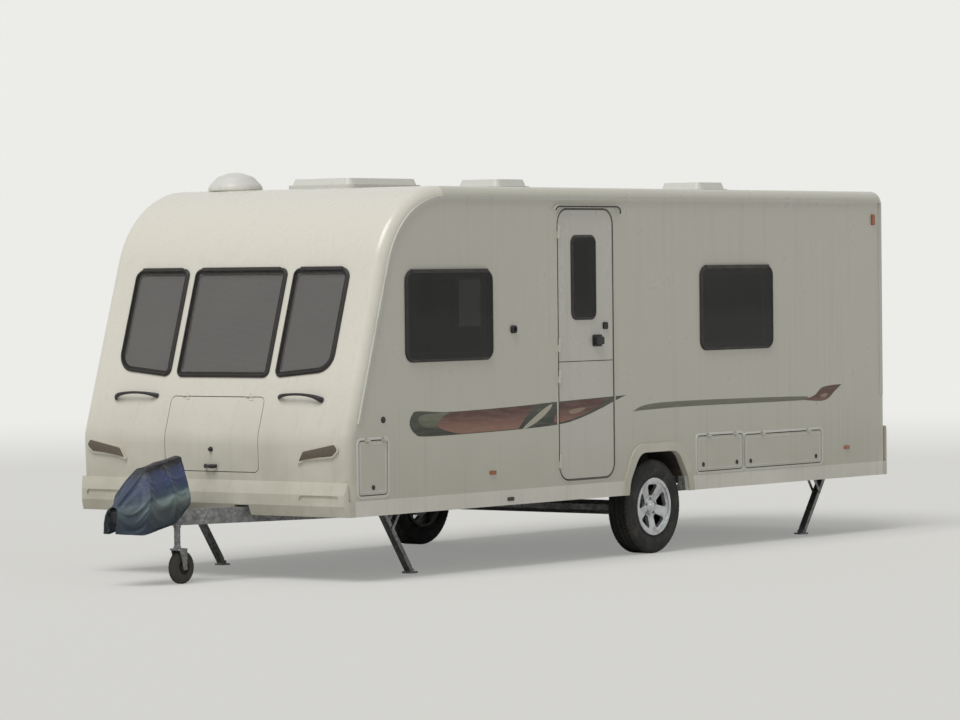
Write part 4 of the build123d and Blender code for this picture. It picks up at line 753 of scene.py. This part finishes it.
DOOR_SEAL = [(-0.0045, -0.004), (-0.0045, -0.016), (-0.001, -0.016), (-0.001, -0.004)]
DOOR_LIP = [(-0.0115, 0.0003), (-0.0110, 0.0036), (-0.0095, 0.0046), (-0.0065, 0.0036), (-0.0060, 0.0003)]
DOOR_FRAME = [(-0.028, 0.0003), (-0.027, 0.0024), (-0.023, 0.0034), (-0.015, 0.0034), (-0.0120, 0.0003)]
DRIP_STRIP = [(2.181, 2.367), (2.185, 2.380), (2.215, 2.3905), (2.300, 2.3915), (2.790, 2.3915),
              (2.875, 2.3905), (2.909, 2.372), (2.909, 2.340)]
DRIP_RISE, DRIP_RADIUS = 0.0225, 0.0050


def door_trim():
    """Seal in the gap round each leaf, frame on the wall round the opening, and the drip strip above."""
    leaf = rounded_box(DOOR_START, DOOR_END, DOOR_LOW, DOOR_HIGH, 0.095)
    moulded("door_seal", leaf, DOOR_SEAL, LEFT, SEAL)
    moulded("door_frame_lip", leaf, DOOR_LIP, LEFT, SEAL)
    moulded("door_frame_trim", leaf, DOOR_FRAME, LEFT, "cream_skin")
    build = bmesh.new()
    arch = smooth_line(DRIP_STRIP, 6, False)
    tube(build, [on_face(LEFT, p.x, p.y, DRIP_RISE) for p in arch], DRIP_RADIUS, 8)
    add_piece("door_drip_strip", build, SEAL)


door_trim()

HATCHES = [
    ("hatch_front", 0.096, 0.380, 0.556, 0.897),
    ("hatch_bunk", 3.836, 4.392, 0.548, 0.790),
    ("hatch_long", 4.426, 5.410, 0.548, 0.779),
]
HATCH_FRAME = [(-0.024, 0.0003), (-0.023, 0.003), (-0.020, 0.004), (-0.008, 0.004), (-0.007, 0.0003)]
HATCH_BEAD = [(0.014, 0.0002), (0.015, 0.0016), (0.020, 0.0016), (0.021, 0.0002)]
HATCH_LOCK = [(0, 0.016), (0.003, 0.016), (0.004, 0.014), (0.004, 0.008), (0.0015, 0.007), (0.0015, 0)]
for name, start, end, low, high in HATCHES:
    outline = rounded_box(start, end, low, high, 0.022)
    moulded(name + "_frame", outline, HATCH_FRAME, LEFT, "white_plastic")
    moulded(name + "_bead", outline, HATCH_BEAD, LEFT, "white_plastic", name)
    build = bmesh.new()
    for across in ((start + 0.07, end - 0.07) if end - start > 0.3 else ((start + end) / 2,)):
        turned(build, HATCH_LOCK, on_face(LEFT, across, low + 0.045), LEFT[3], 24)
    add_piece(name + "_locks", build, "black_plastic", name)


# Grab handles and small fittings

def arched_bar(build, line, where, steps=16):
    """Moulded handle: an oval bar along a line of across, up, rise, half width and half thickness."""
    rows = [Vector(row[:3]) for row in line]
    sizes = [Vector((row[3], row[4], 0)) for row in line]
    path, widths = smooth_line(rows, 6, False) + [rows[-1]], smooth_line(sizes, 6, False) + [sizes[-1]]
    loops = []
    for index, point in enumerate(path):
        behind, ahead = path[max(index - 1, 0)], path[min(index + 1, len(path) - 1)]
        run = on_face(where, *ahead) - on_face(where, *behind)
        side = where[3].cross(run).normalized()
        rise = run.cross(side).normalized()
        size = widths[min(index, len(widths) - 1)]
        loops.append(ellipse(on_face(where, *point), side, rise, size.x, size.y, steps))
    capped_skin(build, loops)


GRIP_UP = up_slope(1.172)
FRONT_GRIP = [(0.516, 0.000, 0.004, 0.014, 0.008), (0.530, 0.001, 0.014, 0.015, 0.009),
              (0.560, 0.004, 0.030, 0.012, 0.008), (0.620, 0.009, 0.038, 0.009, 0.007),
              (0.702, 0.011, 0.040, 0.0085, 0.007), (0.780, 0.006, 0.038, 0.010, 0.007),
              (0.842, -0.004, 0.031, 0.014, 0.008), (0.872, -0.014, 0.016, 0.018, 0.010),
              (0.884, -0.018, 0.004, 0.018, 0.009)]
REAR_GRIP = [(1.062, 0.004, 0.014, 0.009), (1.076, 0.018, 0.014, 0.010), (1.104, 0.034, 0.012, 0.009),
             (1.220, 0.040, 0.0125, 0.009), (1.336, 0.034, 0.012, 0.009), (1.364, 0.018, 0.014, 0.010),
             (1.378, 0.004, 0.014, 0.009)]
REAR_GRIP_ACROSS = 0.960
DOOR_CATCH = [(0.0, 0.0003), (0.0, 0.013), (0.006, 0.020), (0.013, 0.020), (0.015, 0.010)]


def build_grips():
    """Two grab handles under the front windows, two beside the rear window, and the open door's catch."""
    build = bmesh.new()
    for sign in (1, -1):
        arched_bar(build, [(sign * across, GRIP_UP + up, *row) for across, up, *row in FRONT_GRIP], FRONT)
        arched_bar(build, [(sign * REAR_GRIP_ACROSS, *row) for row in REAR_GRIP], REAR)
    mould(build, rounded_box(1.690, 1.746, 1.552, 1.604, 0.016), DOOR_CATCH, LEFT, True)
    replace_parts(add_piece("moulded_grips", build, "black_plastic", sharp=50), "grab_handles")


LID_PULL = [(0.040, 0.001, 0.012, 0.008), (0.042, 0.013, 0.014, 0.008), (0.034, 0.027, 0.0135, 0.008),
            (0.014, 0.032, 0.0075, 0.007)]
LID_LOCK = [(-0.002, 0.016), (0.006, 0.016), (0.008, 0.013), (0.008, 0.0115), (0.019, 0.0105),
            (0.021, 0.009), (0.021, 0.0)]
PULL_UP, LOCK_UP = 0.728 - SKIRT_LOW, 0.836 - SKIRT_LOW


def build_lid_catch():
    """Pull and lock on the gas locker lid. The pull narrows between its two ends."""
    build = bmesh.new()
    line = [(across, PULL_UP, *row) for across, *row in LID_PULL]
    arched_bar(build, [(-row[0], *row[1:]) for row in line] + line[::-1], LOW_FRONT)
    turned(build, LID_LOCK, on_face(LOW_FRONT, 0, LOCK_UP), LOW_FRONT[3], 28)
    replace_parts(add_piece("lid_catch", build, "black_plastic", "locker_lid", 50), "lid_fittings")


FRONT_LENS = [(0.745, 0.769), (0.782, 0.833), (1.042, 0.882), (1.0665, 0.8475), (1.022, 0.8087),
              (0.800, 0.790)]
FRONT_LENS_RADII = [0.004, 0.018, 0.018, 0.016, 0.022, 0.022]
FRONT_LENS_SECTION = [(0.0, 0.0120), (0.0, 0.0150), (0.002, 0.0166), (0.006, 0.0172)]


def build_front_lenses():
    """Lens of each front lamp, set in its moulded surround."""
    for side, sign in (("left", 1), ("right", -1)):
        outline = [(sign * across, height - SKIRT_LOW) for across, height in FRONT_LENS]
        moulded("front_lens_" + side, (outline, FRONT_LENS_RADII), FRONT_LENS_SECTION, LOW_FRONT,
                "clear_lens", cap=True)


REAR_LAMP_ACROSS = 0.985
REAR_LENSES = [("tail_lenses", "red_lens", 0.866, 0.940), ("indicator_lenses", "amber_lens", 0.946, 1.012),
               ("reversing_lenses", "clear_lens", 0.798, 0.860)]
REAR_BASE = [(0.0, 0.0), (0.0, 0.014), (0.004, 0.0185), (0.009, 0.0195)]
REAR_LENS = [(0.0, 0.018), (0.0, 0.0225), (0.004, 0.0250), (0.012, 0.0260)]
BRAKE_LAMP = [(0.0, 0.0), (0.0, 0.013), (0.004, 0.017), (0.010, 0.018)]
PLATE_PLINTH = [(0.0, 0.0003), (0.002, 0.010), (0.010, 0.012), (0.016, 0.0095)]


def rear_pair(half, low, high, radius, section):
    """The same moulding in both rear lamp clusters."""
    build = bmesh.new()
    for centre in (REAR_LAMP_ACROSS, -REAR_LAMP_ACROSS):
        mould(build, rounded_box(centre - half, centre + half, low, high, radius), section, REAR, True)
    return build


def build_rear_lamps():
    """Rear clusters with three lenses each in a dark base, high brake lamp and the plate's plinth."""
    bases = add_piece("rear_lamp_bases", rear_pair(0.065, 0.790, 1.020, 0.030, REAR_BASE), "black_plastic")
    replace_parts(bases, "rear_lamps")
    for name, finish, low, high in REAR_LENSES:
        piece = add_piece(name, rear_pair(0.054, low, high, 0.014, REAR_LENS), finish)
        if name == "reversing_lenses":
            piece.data.materials[0] = REVERSING
    moulded("high_brake_lamp", rounded_box(-0.210, 0.210, 2.270, 2.310, 0.012), BRAKE_LAMP, REAR, "red_lens",
            cap=True)
    moulded("plate_plinth", rounded_box(-0.290, 0.290, 0.596, 0.748, 0.012), PLATE_PLINTH, REAR,
            "cream_moulding", cap=True)


SOCKET_CAP = [(0.0, 0.021), (0.004, 0.021), (0.007, 0.018), (0.007, 0.013), (0.010, 0.011), (0.011, 0.004),
              (0.011, 0.0)]
SKIRT_PLUG = [(0.0, 0.0003), (0.0, 0.0025), (0.003, 0.0038), (0.006, 0.0030)]


def build_small_fittings():
    """Round socket cap on the left wall and oval plug in the skirt."""
    build = bmesh.new()
    turned(build, SOCKET_CAP, on_face(LEFT, 0.343, 1.027), LEFT[3], 28)
    add_piece("socket_cap", build, SEAL)
    moulded("skirt_plug", rounded_box(1.636, 1.712, 0.446, 0.472, 0.012), SKIRT_PLUG, LEFT, SEAL, cap=True)


build_grips()
build_lid_catch()
build_front_lenses()
build_rear_lamps()
build_small_fittings()


# Stripes

SWOOSH = [(0.612, 1.000), (0.640, 1.050), (0.700, 1.070), (0.990, 1.056), (1.370, 1.060), (1.790, 1.070),
          (2.230, 1.086), (2.990, 1.106), (2.990, 1.106), (2.880, 1.078), (2.700, 1.026), (2.470, 0.970),
          (2.230, 0.934), (1.790, 0.916), (1.200, 0.906), (0.760, 0.905), (0.670, 0.925), (0.625, 0.962)]
SWOOSH_LIGHT = [(0.700, 1.018), (0.760, 1.046), (0.900, 1.050), (1.020, 1.052), (0.980, 1.000),
                (0.900, 0.966), (0.800, 0.962), (0.725, 0.982)]
SWOOSH_RED_FRONT = [(0.905, 0.985), (0.985, 1.036), (1.100, 1.052), (1.500, 1.059), (1.930, 1.068),
                    (1.930, 1.068), (1.850, 0.994), (1.765, 0.920), (1.765, 0.920), (1.300, 0.911),
                    (1.120, 0.913), (0.980, 0.938), (0.915, 0.960)]
SWOOSH_GAP = [(1.815, 0.921), (1.850, 0.919), (1.980, 0.962), (2.100, 1.026), (2.140, 1.070), (2.060, 1.048),
              (1.920, 0.980)]
SWOOSH_RED_REAR = [(2.250, 1.074), (2.500, 1.086), (2.780, 1.096), (2.780, 1.096), (2.680, 1.042),
                   (2.460, 0.982), (2.240, 0.946), (2.160, 0.958), (2.190, 1.024)]
SWOOSH_SPOT = [(2.330, 1.020), (2.420, 1.034), (2.520, 1.034), (2.450, 1.008), (2.360, 0.998)]
LONG_LINE = [(3.060, 0.992), (3.060, 0.992), (3.260, 1.036), (3.800, 1.046), (5.100, 1.034), (5.240, 1.020),
             (5.240, 1.020), (5.160, 1.004), (3.800, 1.006), (3.260, 0.998)]
LEAF = [(5.180, 1.006), (5.180, 1.006), (5.330, 1.036), (5.420, 1.086), (5.540, 1.102), (5.690, 1.106),
        (5.690, 1.106), (5.600, 1.060), (5.510, 1.008), (5.400, 0.992)]
LEAF_SPOT = [(5.400, 1.030), (5.460, 1.044), (5.500, 1.040), (5.460, 1.020)]
PALE = gloss_finish("pale stripe", rgb(188, 184, 168), 0.1, 0.1, 0.3, 0.4)
TAN = gloss_finish("tan stripe", rgb(158, 134, 116), 0.1, 0.1, 0.3, 0.4)
STRIPES = [
    ("swoosh", SWOOSH, STRIPE_GREEN, 0.0004),
    ("swoosh_light", SWOOSH_LIGHT, STRIPE_OLIVE, 0.0007),
    ("swoosh_red_front", SWOOSH_RED_FRONT, STRIPE_RED, 0.0010),
    ("swoosh_red_rear", SWOOSH_RED_REAR, STRIPE_RED, 0.0010),
    ("swoosh_gap", SWOOSH_GAP, PALE, 0.0013),
    ("swoosh_spot", SWOOSH_SPOT, TAN, 0.0013),
    ("long_line", LONG_LINE, STRIPE_OLIVE, 0.0004),
    ("leaf", LEAF, STRIPE_RED, 0.0007),
    ("leaf_spot", LEAF_SPOT, TAN, 0.0010),
]


def stripe_piece(name, line, where, rise, material, body, span):
    """One vinyl shape between two distances behind the foot."""
    build = bmesh.new()
    verts = [build.verts.new(on_face(where, p.x, p.y, rise)) for p in line]
    for triangle in tessellate_polygon([[Vector((p.x, p.y, 0)) for p in line]]):
        build.faces.new([verts[i] for i in triangle])
    for back, way in ((span[0], 1), (span[1], -1)):
        geometry = build.verts[:] + build.edges[:] + build.faces[:]
        bmesh.ops.bisect_plane(build, geom=geometry, plane_co=(FOOT_X - back, 0, 0), plane_no=(way, 0, 0),
                               clear_outer=True)
    if not build.faces:
        build.free()
        return
    bmesh.ops.recalc_face_normals(build, faces=build.faces)
    if build.faces[:][0].normal.dot(where[3]) < 0:
        bmesh.ops.reverse_faces(build, faces=build.faces)
    add_piece(name, build, material, body)


DOOR_SPANS = [("ahead", 0.0, DOOR_START - PANEL_GAP, "root"), ("door", DOOR_START, DOOR_END, "door_lower"),
              ("behind", DOOR_END + PANEL_GAP, 7.0, "root")]
for name, points, material, rise in STRIPES:
    line = smooth_line(points)
    for part, start, end, body in DOOR_SPANS:
        stripe_piece(f"{name}_left_{part}", line, LEFT, rise, material, body, (start, end))
    stripe_piece(name + "_right", line, RIGHT, rise, material, "root", (0.0, 7.0))


# Wheels

TREAD_EDGE = 0.0655
TREAD_HALF = [0.0134, 0.0142, 0.0212, 0.0220, 0.0470, 0.0480, 0.0550, 0.0560]
GROOVES = ((0.0475, 0.0555), (0.0138, 0.0216))
GROOVE_DEPTH, SHOULDER_CUT, RIB_CUT = 0.007, 0.006, 0.004
PITCHES, PITCH_STEPS = 64, 8
TYRE_RADIUS = 0.325
CROWN_FROM = 0.312               # radius beyond which the tread is cut
BOLT_CIRCLE = 0.0545
BOLT_Y, CAP_Y = 1.066, 1.070     # seats of the bolts and the centre cap on the wheel's face
BOLT_SEAT = [(-0.004, 0.012), (0.004, 0.012), (0.005, 0.0095)]
BOLT_HEAD = [(0.004, 0.0095), (0.014, 0.0095), (0.016, 0.007)]
HUB_CAP = [(-0.010, 0.031), (0.012, 0.031), (0.018, 0.028), (0.021, 0.020), (0.022, 0.008), (0.022, 0)]
VALVE = [(0.150, 1.076), (0.146, 1.094), (0.143, 1.104)]


def tyre_section():
    """Section of a tyre from bead to bead, with extra stations over the tread."""
    corners = [(-0.075, 0.198), (-0.0925, 0.248), (-0.0855, 0.301), (-0.0705, TYRE_RADIUS)]
    radii = [0.0004, 0.050, 0.030, 0.008]
    points = [Vector(p) for p in [(-0.075, 0.184)] + corners + [(0.0, TYRE_RADIUS)]]
    line = [points[0]]
    for index in range(1, 5):
        line += corner_fillet(points[index], points[index - 1], points[index + 1], radii[index - 1], 5)
    left = [p for p in line if p.x <= -TREAD_EDGE or p.y < 0.32]
    tread = [Vector((y, TYRE_RADIUS)) for y in [-y for y in reversed(TREAD_HALF)] + TREAD_HALF]
    right = [Vector((-p.x, p.y)) for p in reversed(left)]
    inner = [Vector((0.062, 0.196)), Vector((0.078, 0.250)), Vector((0.060, 0.310)), Vector((-0.060, 0.310)),
             Vector((-0.078, 0.250)), Vector((-0.062, 0.196))]
    return left + tread + right + inner


def tread_drop(y, share):
    """How far the tread is cut away at a place across it and a share of one pitch."""
    reach = abs(y)
    drop = GROOVE_DEPTH if any(near < reach < far for near, far in GROOVES) else 0.0
    (rib_end, shoulder), (_, rib_start) = GROOVES
    if reach > shoulder and share < 0.25:
        drop = max(drop, SHOULDER_CUT)
    if rib_start < reach < rib_end and 0.5 <= share < 0.62:
        drop = max(drop, RIB_CUT)
    return drop


def build_tyre(side, sign):
    build = bmesh.new()
    section = tyre_section()
    steps = PITCHES * PITCH_STEPS
    loops = []
    for index in range(steps):
        angle = 2 * math.pi * index / steps
        share = (index % PITCH_STEPS) / PITCH_STEPS
        loop = []
        for p in section:
            radius = p.y
            if radius > CROWN_FROM and abs(p.x) < 0.090:
                radius -= tread_drop(p.x, share)
            loop.append(Vector((WHEEL_X + radius * math.sin(angle), sign * (WHEEL_Y + p.x),
                                WHEEL_Z + radius * math.cos(angle))))
        loops.append(loop)
    skin_loops(build, loops, True)
    piece = add_piece("tyre_tread_" + side, build, "tyre_rubber", "wheel_" + side, 40)
    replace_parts(piece, "tyre_" + side)


def build_wheel_fittings(side, sign):
    """Wheel bolts in their seats, centre cap and valve."""
    body, out = "wheel_" + side, (0, sign, 0)
    build = bmesh.new()
    for index in range(5):
        angle = math.radians(90 + index * 72)
        ahead, above = BOLT_CIRCLE * math.cos(angle), BOLT_CIRCLE * math.sin(angle)
        centre = (WHEEL_X + ahead, sign * BOLT_Y, WHEEL_Z + above)
        turned(build, BOLT_SEAT, centre, out, 20)
        turned(build, BOLT_HEAD, centre, out, 6, angle)
    add_piece("wheel_bolts_" + side, build, BRIGHT, body)
    build = bmesh.new()
    turned(build, HUB_CAP, (WHEEL_X, sign * CAP_Y, WHEEL_Z), out, 40)
    add_piece("wheel_cap_" + side, build, "wheel_alloy", body)
    build = bmesh.new()
    tube(build, [(WHEEL_X + ahead, sign * y, WHEEL_Z + 0.02) for ahead, y in VALVE], 0.0045)
    add_piece("valve_" + side, build, SEAL, body)


for side, sign in (("left", 1), ("right", -1)):
    build_tyre(side, sign)
    build_wheel_fittings(side, sign)


# Hitch cover

# Seams of the left half, from hem to ridge: back edge, fold over the jockey wheel's crank, front crease
# and nose, as distance ahead of the foot, distance from the middle and height
COVER_SEAMS = [
    [(0.430, 0.182, 0.512), (0.424, 0.182, 0.536), (0.416, 0.174, 0.566), (0.386, 0.106, 0.690),
     (0.354, 0.040, 0.798), (0.352, 0.000, 0.806)],
    [(0.560, 0.177, 0.395), (0.558, 0.180, 0.480), (0.555, 0.172, 0.566), (0.543, 0.104, 0.672),
     (0.532, 0.038, 0.768), (0.530, 0.000, 0.776)],
    [(0.822, 0.148, 0.333), (0.798, 0.158, 0.450), (0.764, 0.152, 0.566), (0.722, 0.096, 0.664),
     (0.688, 0.034, 0.736), (0.684, 0.000, 0.743)],
    [(0.986, 0.050, 0.346), (0.979, 0.054, 0.400), (0.967, 0.054, 0.452), (0.957, 0.044, 0.486),
     (0.950, 0.026, 0.503), (0.950, 0.000, 0.508)],
]
COVER_SPANS = (22, 44, 34)       # quads from each seam to the next
COVER_CLIMB = 44                 # quads from hem to ridge
COVER_BACK = 14                  # quads across the back panel
COVER_SLACK = 0.03
COVER_FRAMES = 22
COVER_CAP = 0.016
RIDGE_BAND = 4                   # rows of quads from the ridge to its seam
HEM_CORD, SEAM_CORD = 0.0050, 0.0028


def resampled(points, count):
    """The same line with evenly spaced points."""
    lengths = [0.0]
    for a, b in zip(points, points[1:]):
        lengths.append(lengths[-1] + (b - a).length)
    out = []
    for index in range(count):
        want = lengths[-1] * index / (count - 1)
        k = max(i for i in range(len(lengths)) if lengths[i] <= want + 1e-9)
        k = min(k, len(points) - 2)
        run = max(lengths[k + 1] - lengths[k], 1e-9)
        out.append(points[k].lerp(points[k + 1], min((want - lengths[k]) / run, 1)))
    return out


def cover_rows():
    """Rows across the whole cover, from hem over ridge to hem, and which of them are seams."""
    seams = []
    for seam in COVER_SEAMS:
        points = [Vector((FOOT_X + ahead, side, height)) for ahead, side, height in seam]
        seams.append(resampled(points, COVER_CLIMB + 1))
    halves, places = [], [0]
    for first, second, count in zip(seams, seams[1:], COVER_SPANS):
        for step in range(count):
            halves.append([p.lerp(q, step / count) for p, q in zip(first, second)])
        places.append(len(halves))
    halves.append(seams[-1])
    rows = [half + [Vector((p.x, -p.y, p.z)) for p in reversed(half[:-1])] for half in halves]
    return rows, places


def hang_cloth(piece, slack, frames, cap):
    """Lets the cloth sag between its pinned seams. No point moves further than the cap."""
    start = [v.co.copy() for v in piece.data.vertices]
    cloth = piece.modifiers.new("hang", "CLOTH").settings
    cloth.quality = 6
    cloth.mass = 0.25
    cloth.tension_stiffness = cloth.compression_stiffness = 12.0
    cloth.shear_stiffness = 4.0
    cloth.bending_stiffness = 0.15
    cloth.air_damping = 4.0
    cloth.shrink_min = -slack
    cloth.vertex_group_mass = "seams"
    cloth.pin_stiffness = 0.6
    scene = bpy.context.scene
    for number in range(1, frames + 1):
        scene.frame_set(number)
    hung = piece.evaluated_get(bpy.context.evaluated_depsgraph_get()).to_mesh()
    places = [v.co.copy() for v in hung.vertices]
    piece.modifiers.clear()
    scene.frame_set(1)
    for vert, first, last in zip(piece.data.vertices, start, places):
        move = last - first
        vert.co = first + move * min(1.0, cap / max(move.length, 1e-9))


def build_hitch_cover():
    """Canvas hood over lever and coupling, sewn from side, bow and back pieces, and hung in its seams."""
    rows, seam_places = cover_rows()
    width = len(rows[0])
    build = bmesh.new()
    verts = [[build.verts.new(p) for p in row] for row in rows]
    fill_rows(build, verts)
    lines = []
    for k in range(COVER_CLIMB):
        left, right = verts[0][k], verts[0][width - 1 - k]
        middle = [build.verts.new(left.co.lerp(right.co, i / COVER_BACK)) for i in range(1, COVER_BACK)]
        lines.append([left] + middle + [right])
    for first, second in zip(lines, lines[1:]):
        for i in range(COVER_BACK):
            build.faces.new((first[i], second[i], second[i + 1], first[i + 1]))
    cloth = add_piece("hitch_cover_cloth", build, "cover_fabric", sharp=170)
    mesh = cloth.data
    pins = cloth.vertex_groups.new(name="seams")
    for row in range(len(rows)):
        for k in range(width):
            climb = min(k, width - 1 - k)
            sewn = climb > COVER_CLIMB - RIDGE_BAND or row in seam_places
            hold = 1.0 if sewn else 0.4 if climb < 2 else 0.0
            pins.add([row * width + k], hold, "REPLACE")
    hang_cloth(cloth, COVER_SLACK, COVER_FRAMES, COVER_CAP)
    for vert in mesh.vertices:
        place = vert.co
        crinkle = noise.noise(Vector((place.x * 19, place.y * 15, place.z * 11)))
        fine = noise.noise(Vector((place.x * 55, place.y * 48, place.z * 30)))
        vert.co = place + vert.normal * (crinkle * 0.0022 + fine * 0.0007)
    points = [v.co.copy() for v in mesh.vertices[:len(rows) * width]]
    trim = bmesh.new()
    for column in (0, width - 1):
        tube(trim, points[column::width], HEM_CORD, 8)
    for row in seam_places:
        tube(trim, points[row * width:(row + 1) * width], SEAM_CORD, 6)
    for column in (COVER_CLIMB - RIDGE_BAND, width - 1 + RIDGE_BAND - COVER_CLIMB):
        tube(trim, points[column::width], SEAM_CORD, 6)
    piping = add_piece("hitch_cover_piping", trim, "cover_fabric")
    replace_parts(cloth, "hitch_cover")


build_hitch_cover()


# Cushions

CUSHION_LOW, CUSHION_HIGH = 0.8955, 1.035
CUSHIONS = [
    ("seat_cushion_left_front", -1.255, -0.450, 0.493, 1.103),
    ("seat_cushion_left_rear", -2.070, -1.265, 0.493, 1.103),
    ("seat_cushion_right_front", -1.255, -0.450, -1.103, -0.493),
    ("seat_cushion_right_rear", -2.070, -1.265, -1.103, -0.493),
    ("bunk_cushion", -4.830, -3.740, 0.353, 1.103),
]


def build_cushion(name, start, end, near, far):
    """Crowned seat cushion with a piped edge, its sides drawn in between the corners."""
    build = bmesh.new()
    bmesh.ops.create_cube(build, size=1.0)
    bmesh.ops.subdivide_edges(build, edges=build.edges[:], cuts=12, use_grid_fill=True)
    centre = Vector((FOOT_X + (start + end) / 2, (near + far) / 2, (CUSHION_LOW + CUSHION_HIGH) / 2))
    half = Vector((end - start, far - near, CUSHION_HIGH - CUSHION_LOW)) / 2
    for vert in build.verts:
        u, v, w = (2 * c for c in vert.co)
        crown = (1 - abs(u) ** 4) * (1 - abs(v) ** 4)
        corner = max(abs(u), abs(v)) ** 10
        waist = 1 - 0.012 * (1 - corner) * (1 - abs(w))
        height = w * (0.90 - 0.22 * corner * abs(w))
        if w > 0.9:
            height += 0.10 * crown
        pull = 1 - 0.010 * (1 - abs(u if abs(v) > abs(u) else v) ** 2) * corner
        vert.co = centre + Vector((u * pull * waist * half.x, v * pull * waist * half.y, height * half.z))
    piece = add_piece(name, build, "seat_fabric", sharp=60)
    return piece


cushions = [build_cushion(*row) for row in CUSHIONS]
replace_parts(cushions[0], "seat_cushions")


# Camera, light and floor

def place_camera():
    """The photograph's viewpoint, turned towards the caravan."""
    heading, pitch, roll = (math.radians(v) for v in (CAMERA_HEADING, CAMERA_PITCH, CAMERA_ROLL))
    level_run = math.cos(pitch)
    aim = Vector((-math.cos(heading) * level_run, -math.sin(heading) * level_run, math.sin(pitch)))
    level = aim.cross(Vector((0, 0, 1))).normalized()
    upright = level.cross(aim)
    right = level * math.cos(roll) + upright * math.sin(roll)
    up = upright * math.cos(roll) - level * math.sin(roll)
    lens = bpy.data.cameras.new("photo camera")
    lens.lens = CAMERA_LENS
    lens.sensor_width = 36.0
    lens.clip_end = 500.0
    camera = in_scene("photo camera", lens)
    camera.matrix_world = Matrix.Translation(CAMERA_PLACE) @ Matrix((right, up, -aim)).transposed().to_4x4()
    bpy.context.scene.camera = camera


BACKDROP = rgb(236, 236, 233)
FLOOR = rgb(226, 225, 221)


def pale_world():
    """Even soft light, with the pale backdrop in what the camera and reflections see of it."""
    world = bpy.data.worlds.new("pale studio")
    bpy.context.scene.world = world
    world.use_nodes = True
    graph = Graph(world.node_tree)
    sky = world.node_tree.nodes["Background"].inputs
    rays = graph.put("ShaderNodeLightPath").outputs
    seen = graph.math("MAXIMUM", rays["Is Camera Ray"], rays["Is Transmission Ray"])
    seen = graph.math("MAXIMUM", seen, graph.times(rays["Is Glossy Ray"], 0.8))
    graph.feed(sky["Color"], BACKDROP)
    graph.feed(sky["Strength"], graph.plus(graph.times(seen, 1 - WORLD_LIGHT), WORLD_LIGHT))


def key_light():
    """Broad soft sun from ahead and above."""
    lamp = bpy.data.lights.new("key", "SUN")
    lamp.energy = SUN_ENERGY
    lamp.angle = math.radians(SUN_WIDTH)
    in_scene("key", lamp).rotation_euler = (0, math.radians(SUN_LEAN), math.radians(SUN_TURN))


def pale_floor():
    """Plain floor that keeps the shadow and fades into the backdrop with distance."""
    build = bmesh.new()
    bmesh.ops.create_circle(build, cap_ends=True, radius=FLOOR_RADIUS, segments=96)
    mesh = bpy.data.meshes.new("floor")
    build.to_mesh(mesh)
    build.free()
    in_scene("floor", mesh)
    material, graph, into = new_finish("studio floor", BACKDROP, 0.9)
    surface(graph, into, FLOOR)
    distance = graph.put("ShaderNodeVectorMath", {0: graph.place()}, operation="LENGTH").outputs["Value"]
    near = graph.times(graph.put("ShaderNodeLightPath").outputs["Is Camera Ray"], 0.30)
    far = graph.math("MAXIMUM", graph.span(distance, 6.0, 30.0), near)
    glow = graph.put("ShaderNodeEmission", {"Color": BACKDROP}).outputs[0]
    plain = material.node_tree.nodes["Principled BSDF"].outputs[0]
    blend = graph.put("ShaderNodeMixShader", {0: far, 1: plain, 2: glow}).outputs[0]
    graph.feed(material.node_tree.nodes["Material Output"].inputs["Surface"], blend)
    mesh.materials.append(material)


place_camera()
pale_world()
key_light()
pale_floor()
bpy.context.scene.view_settings.view_transform = "Standard"
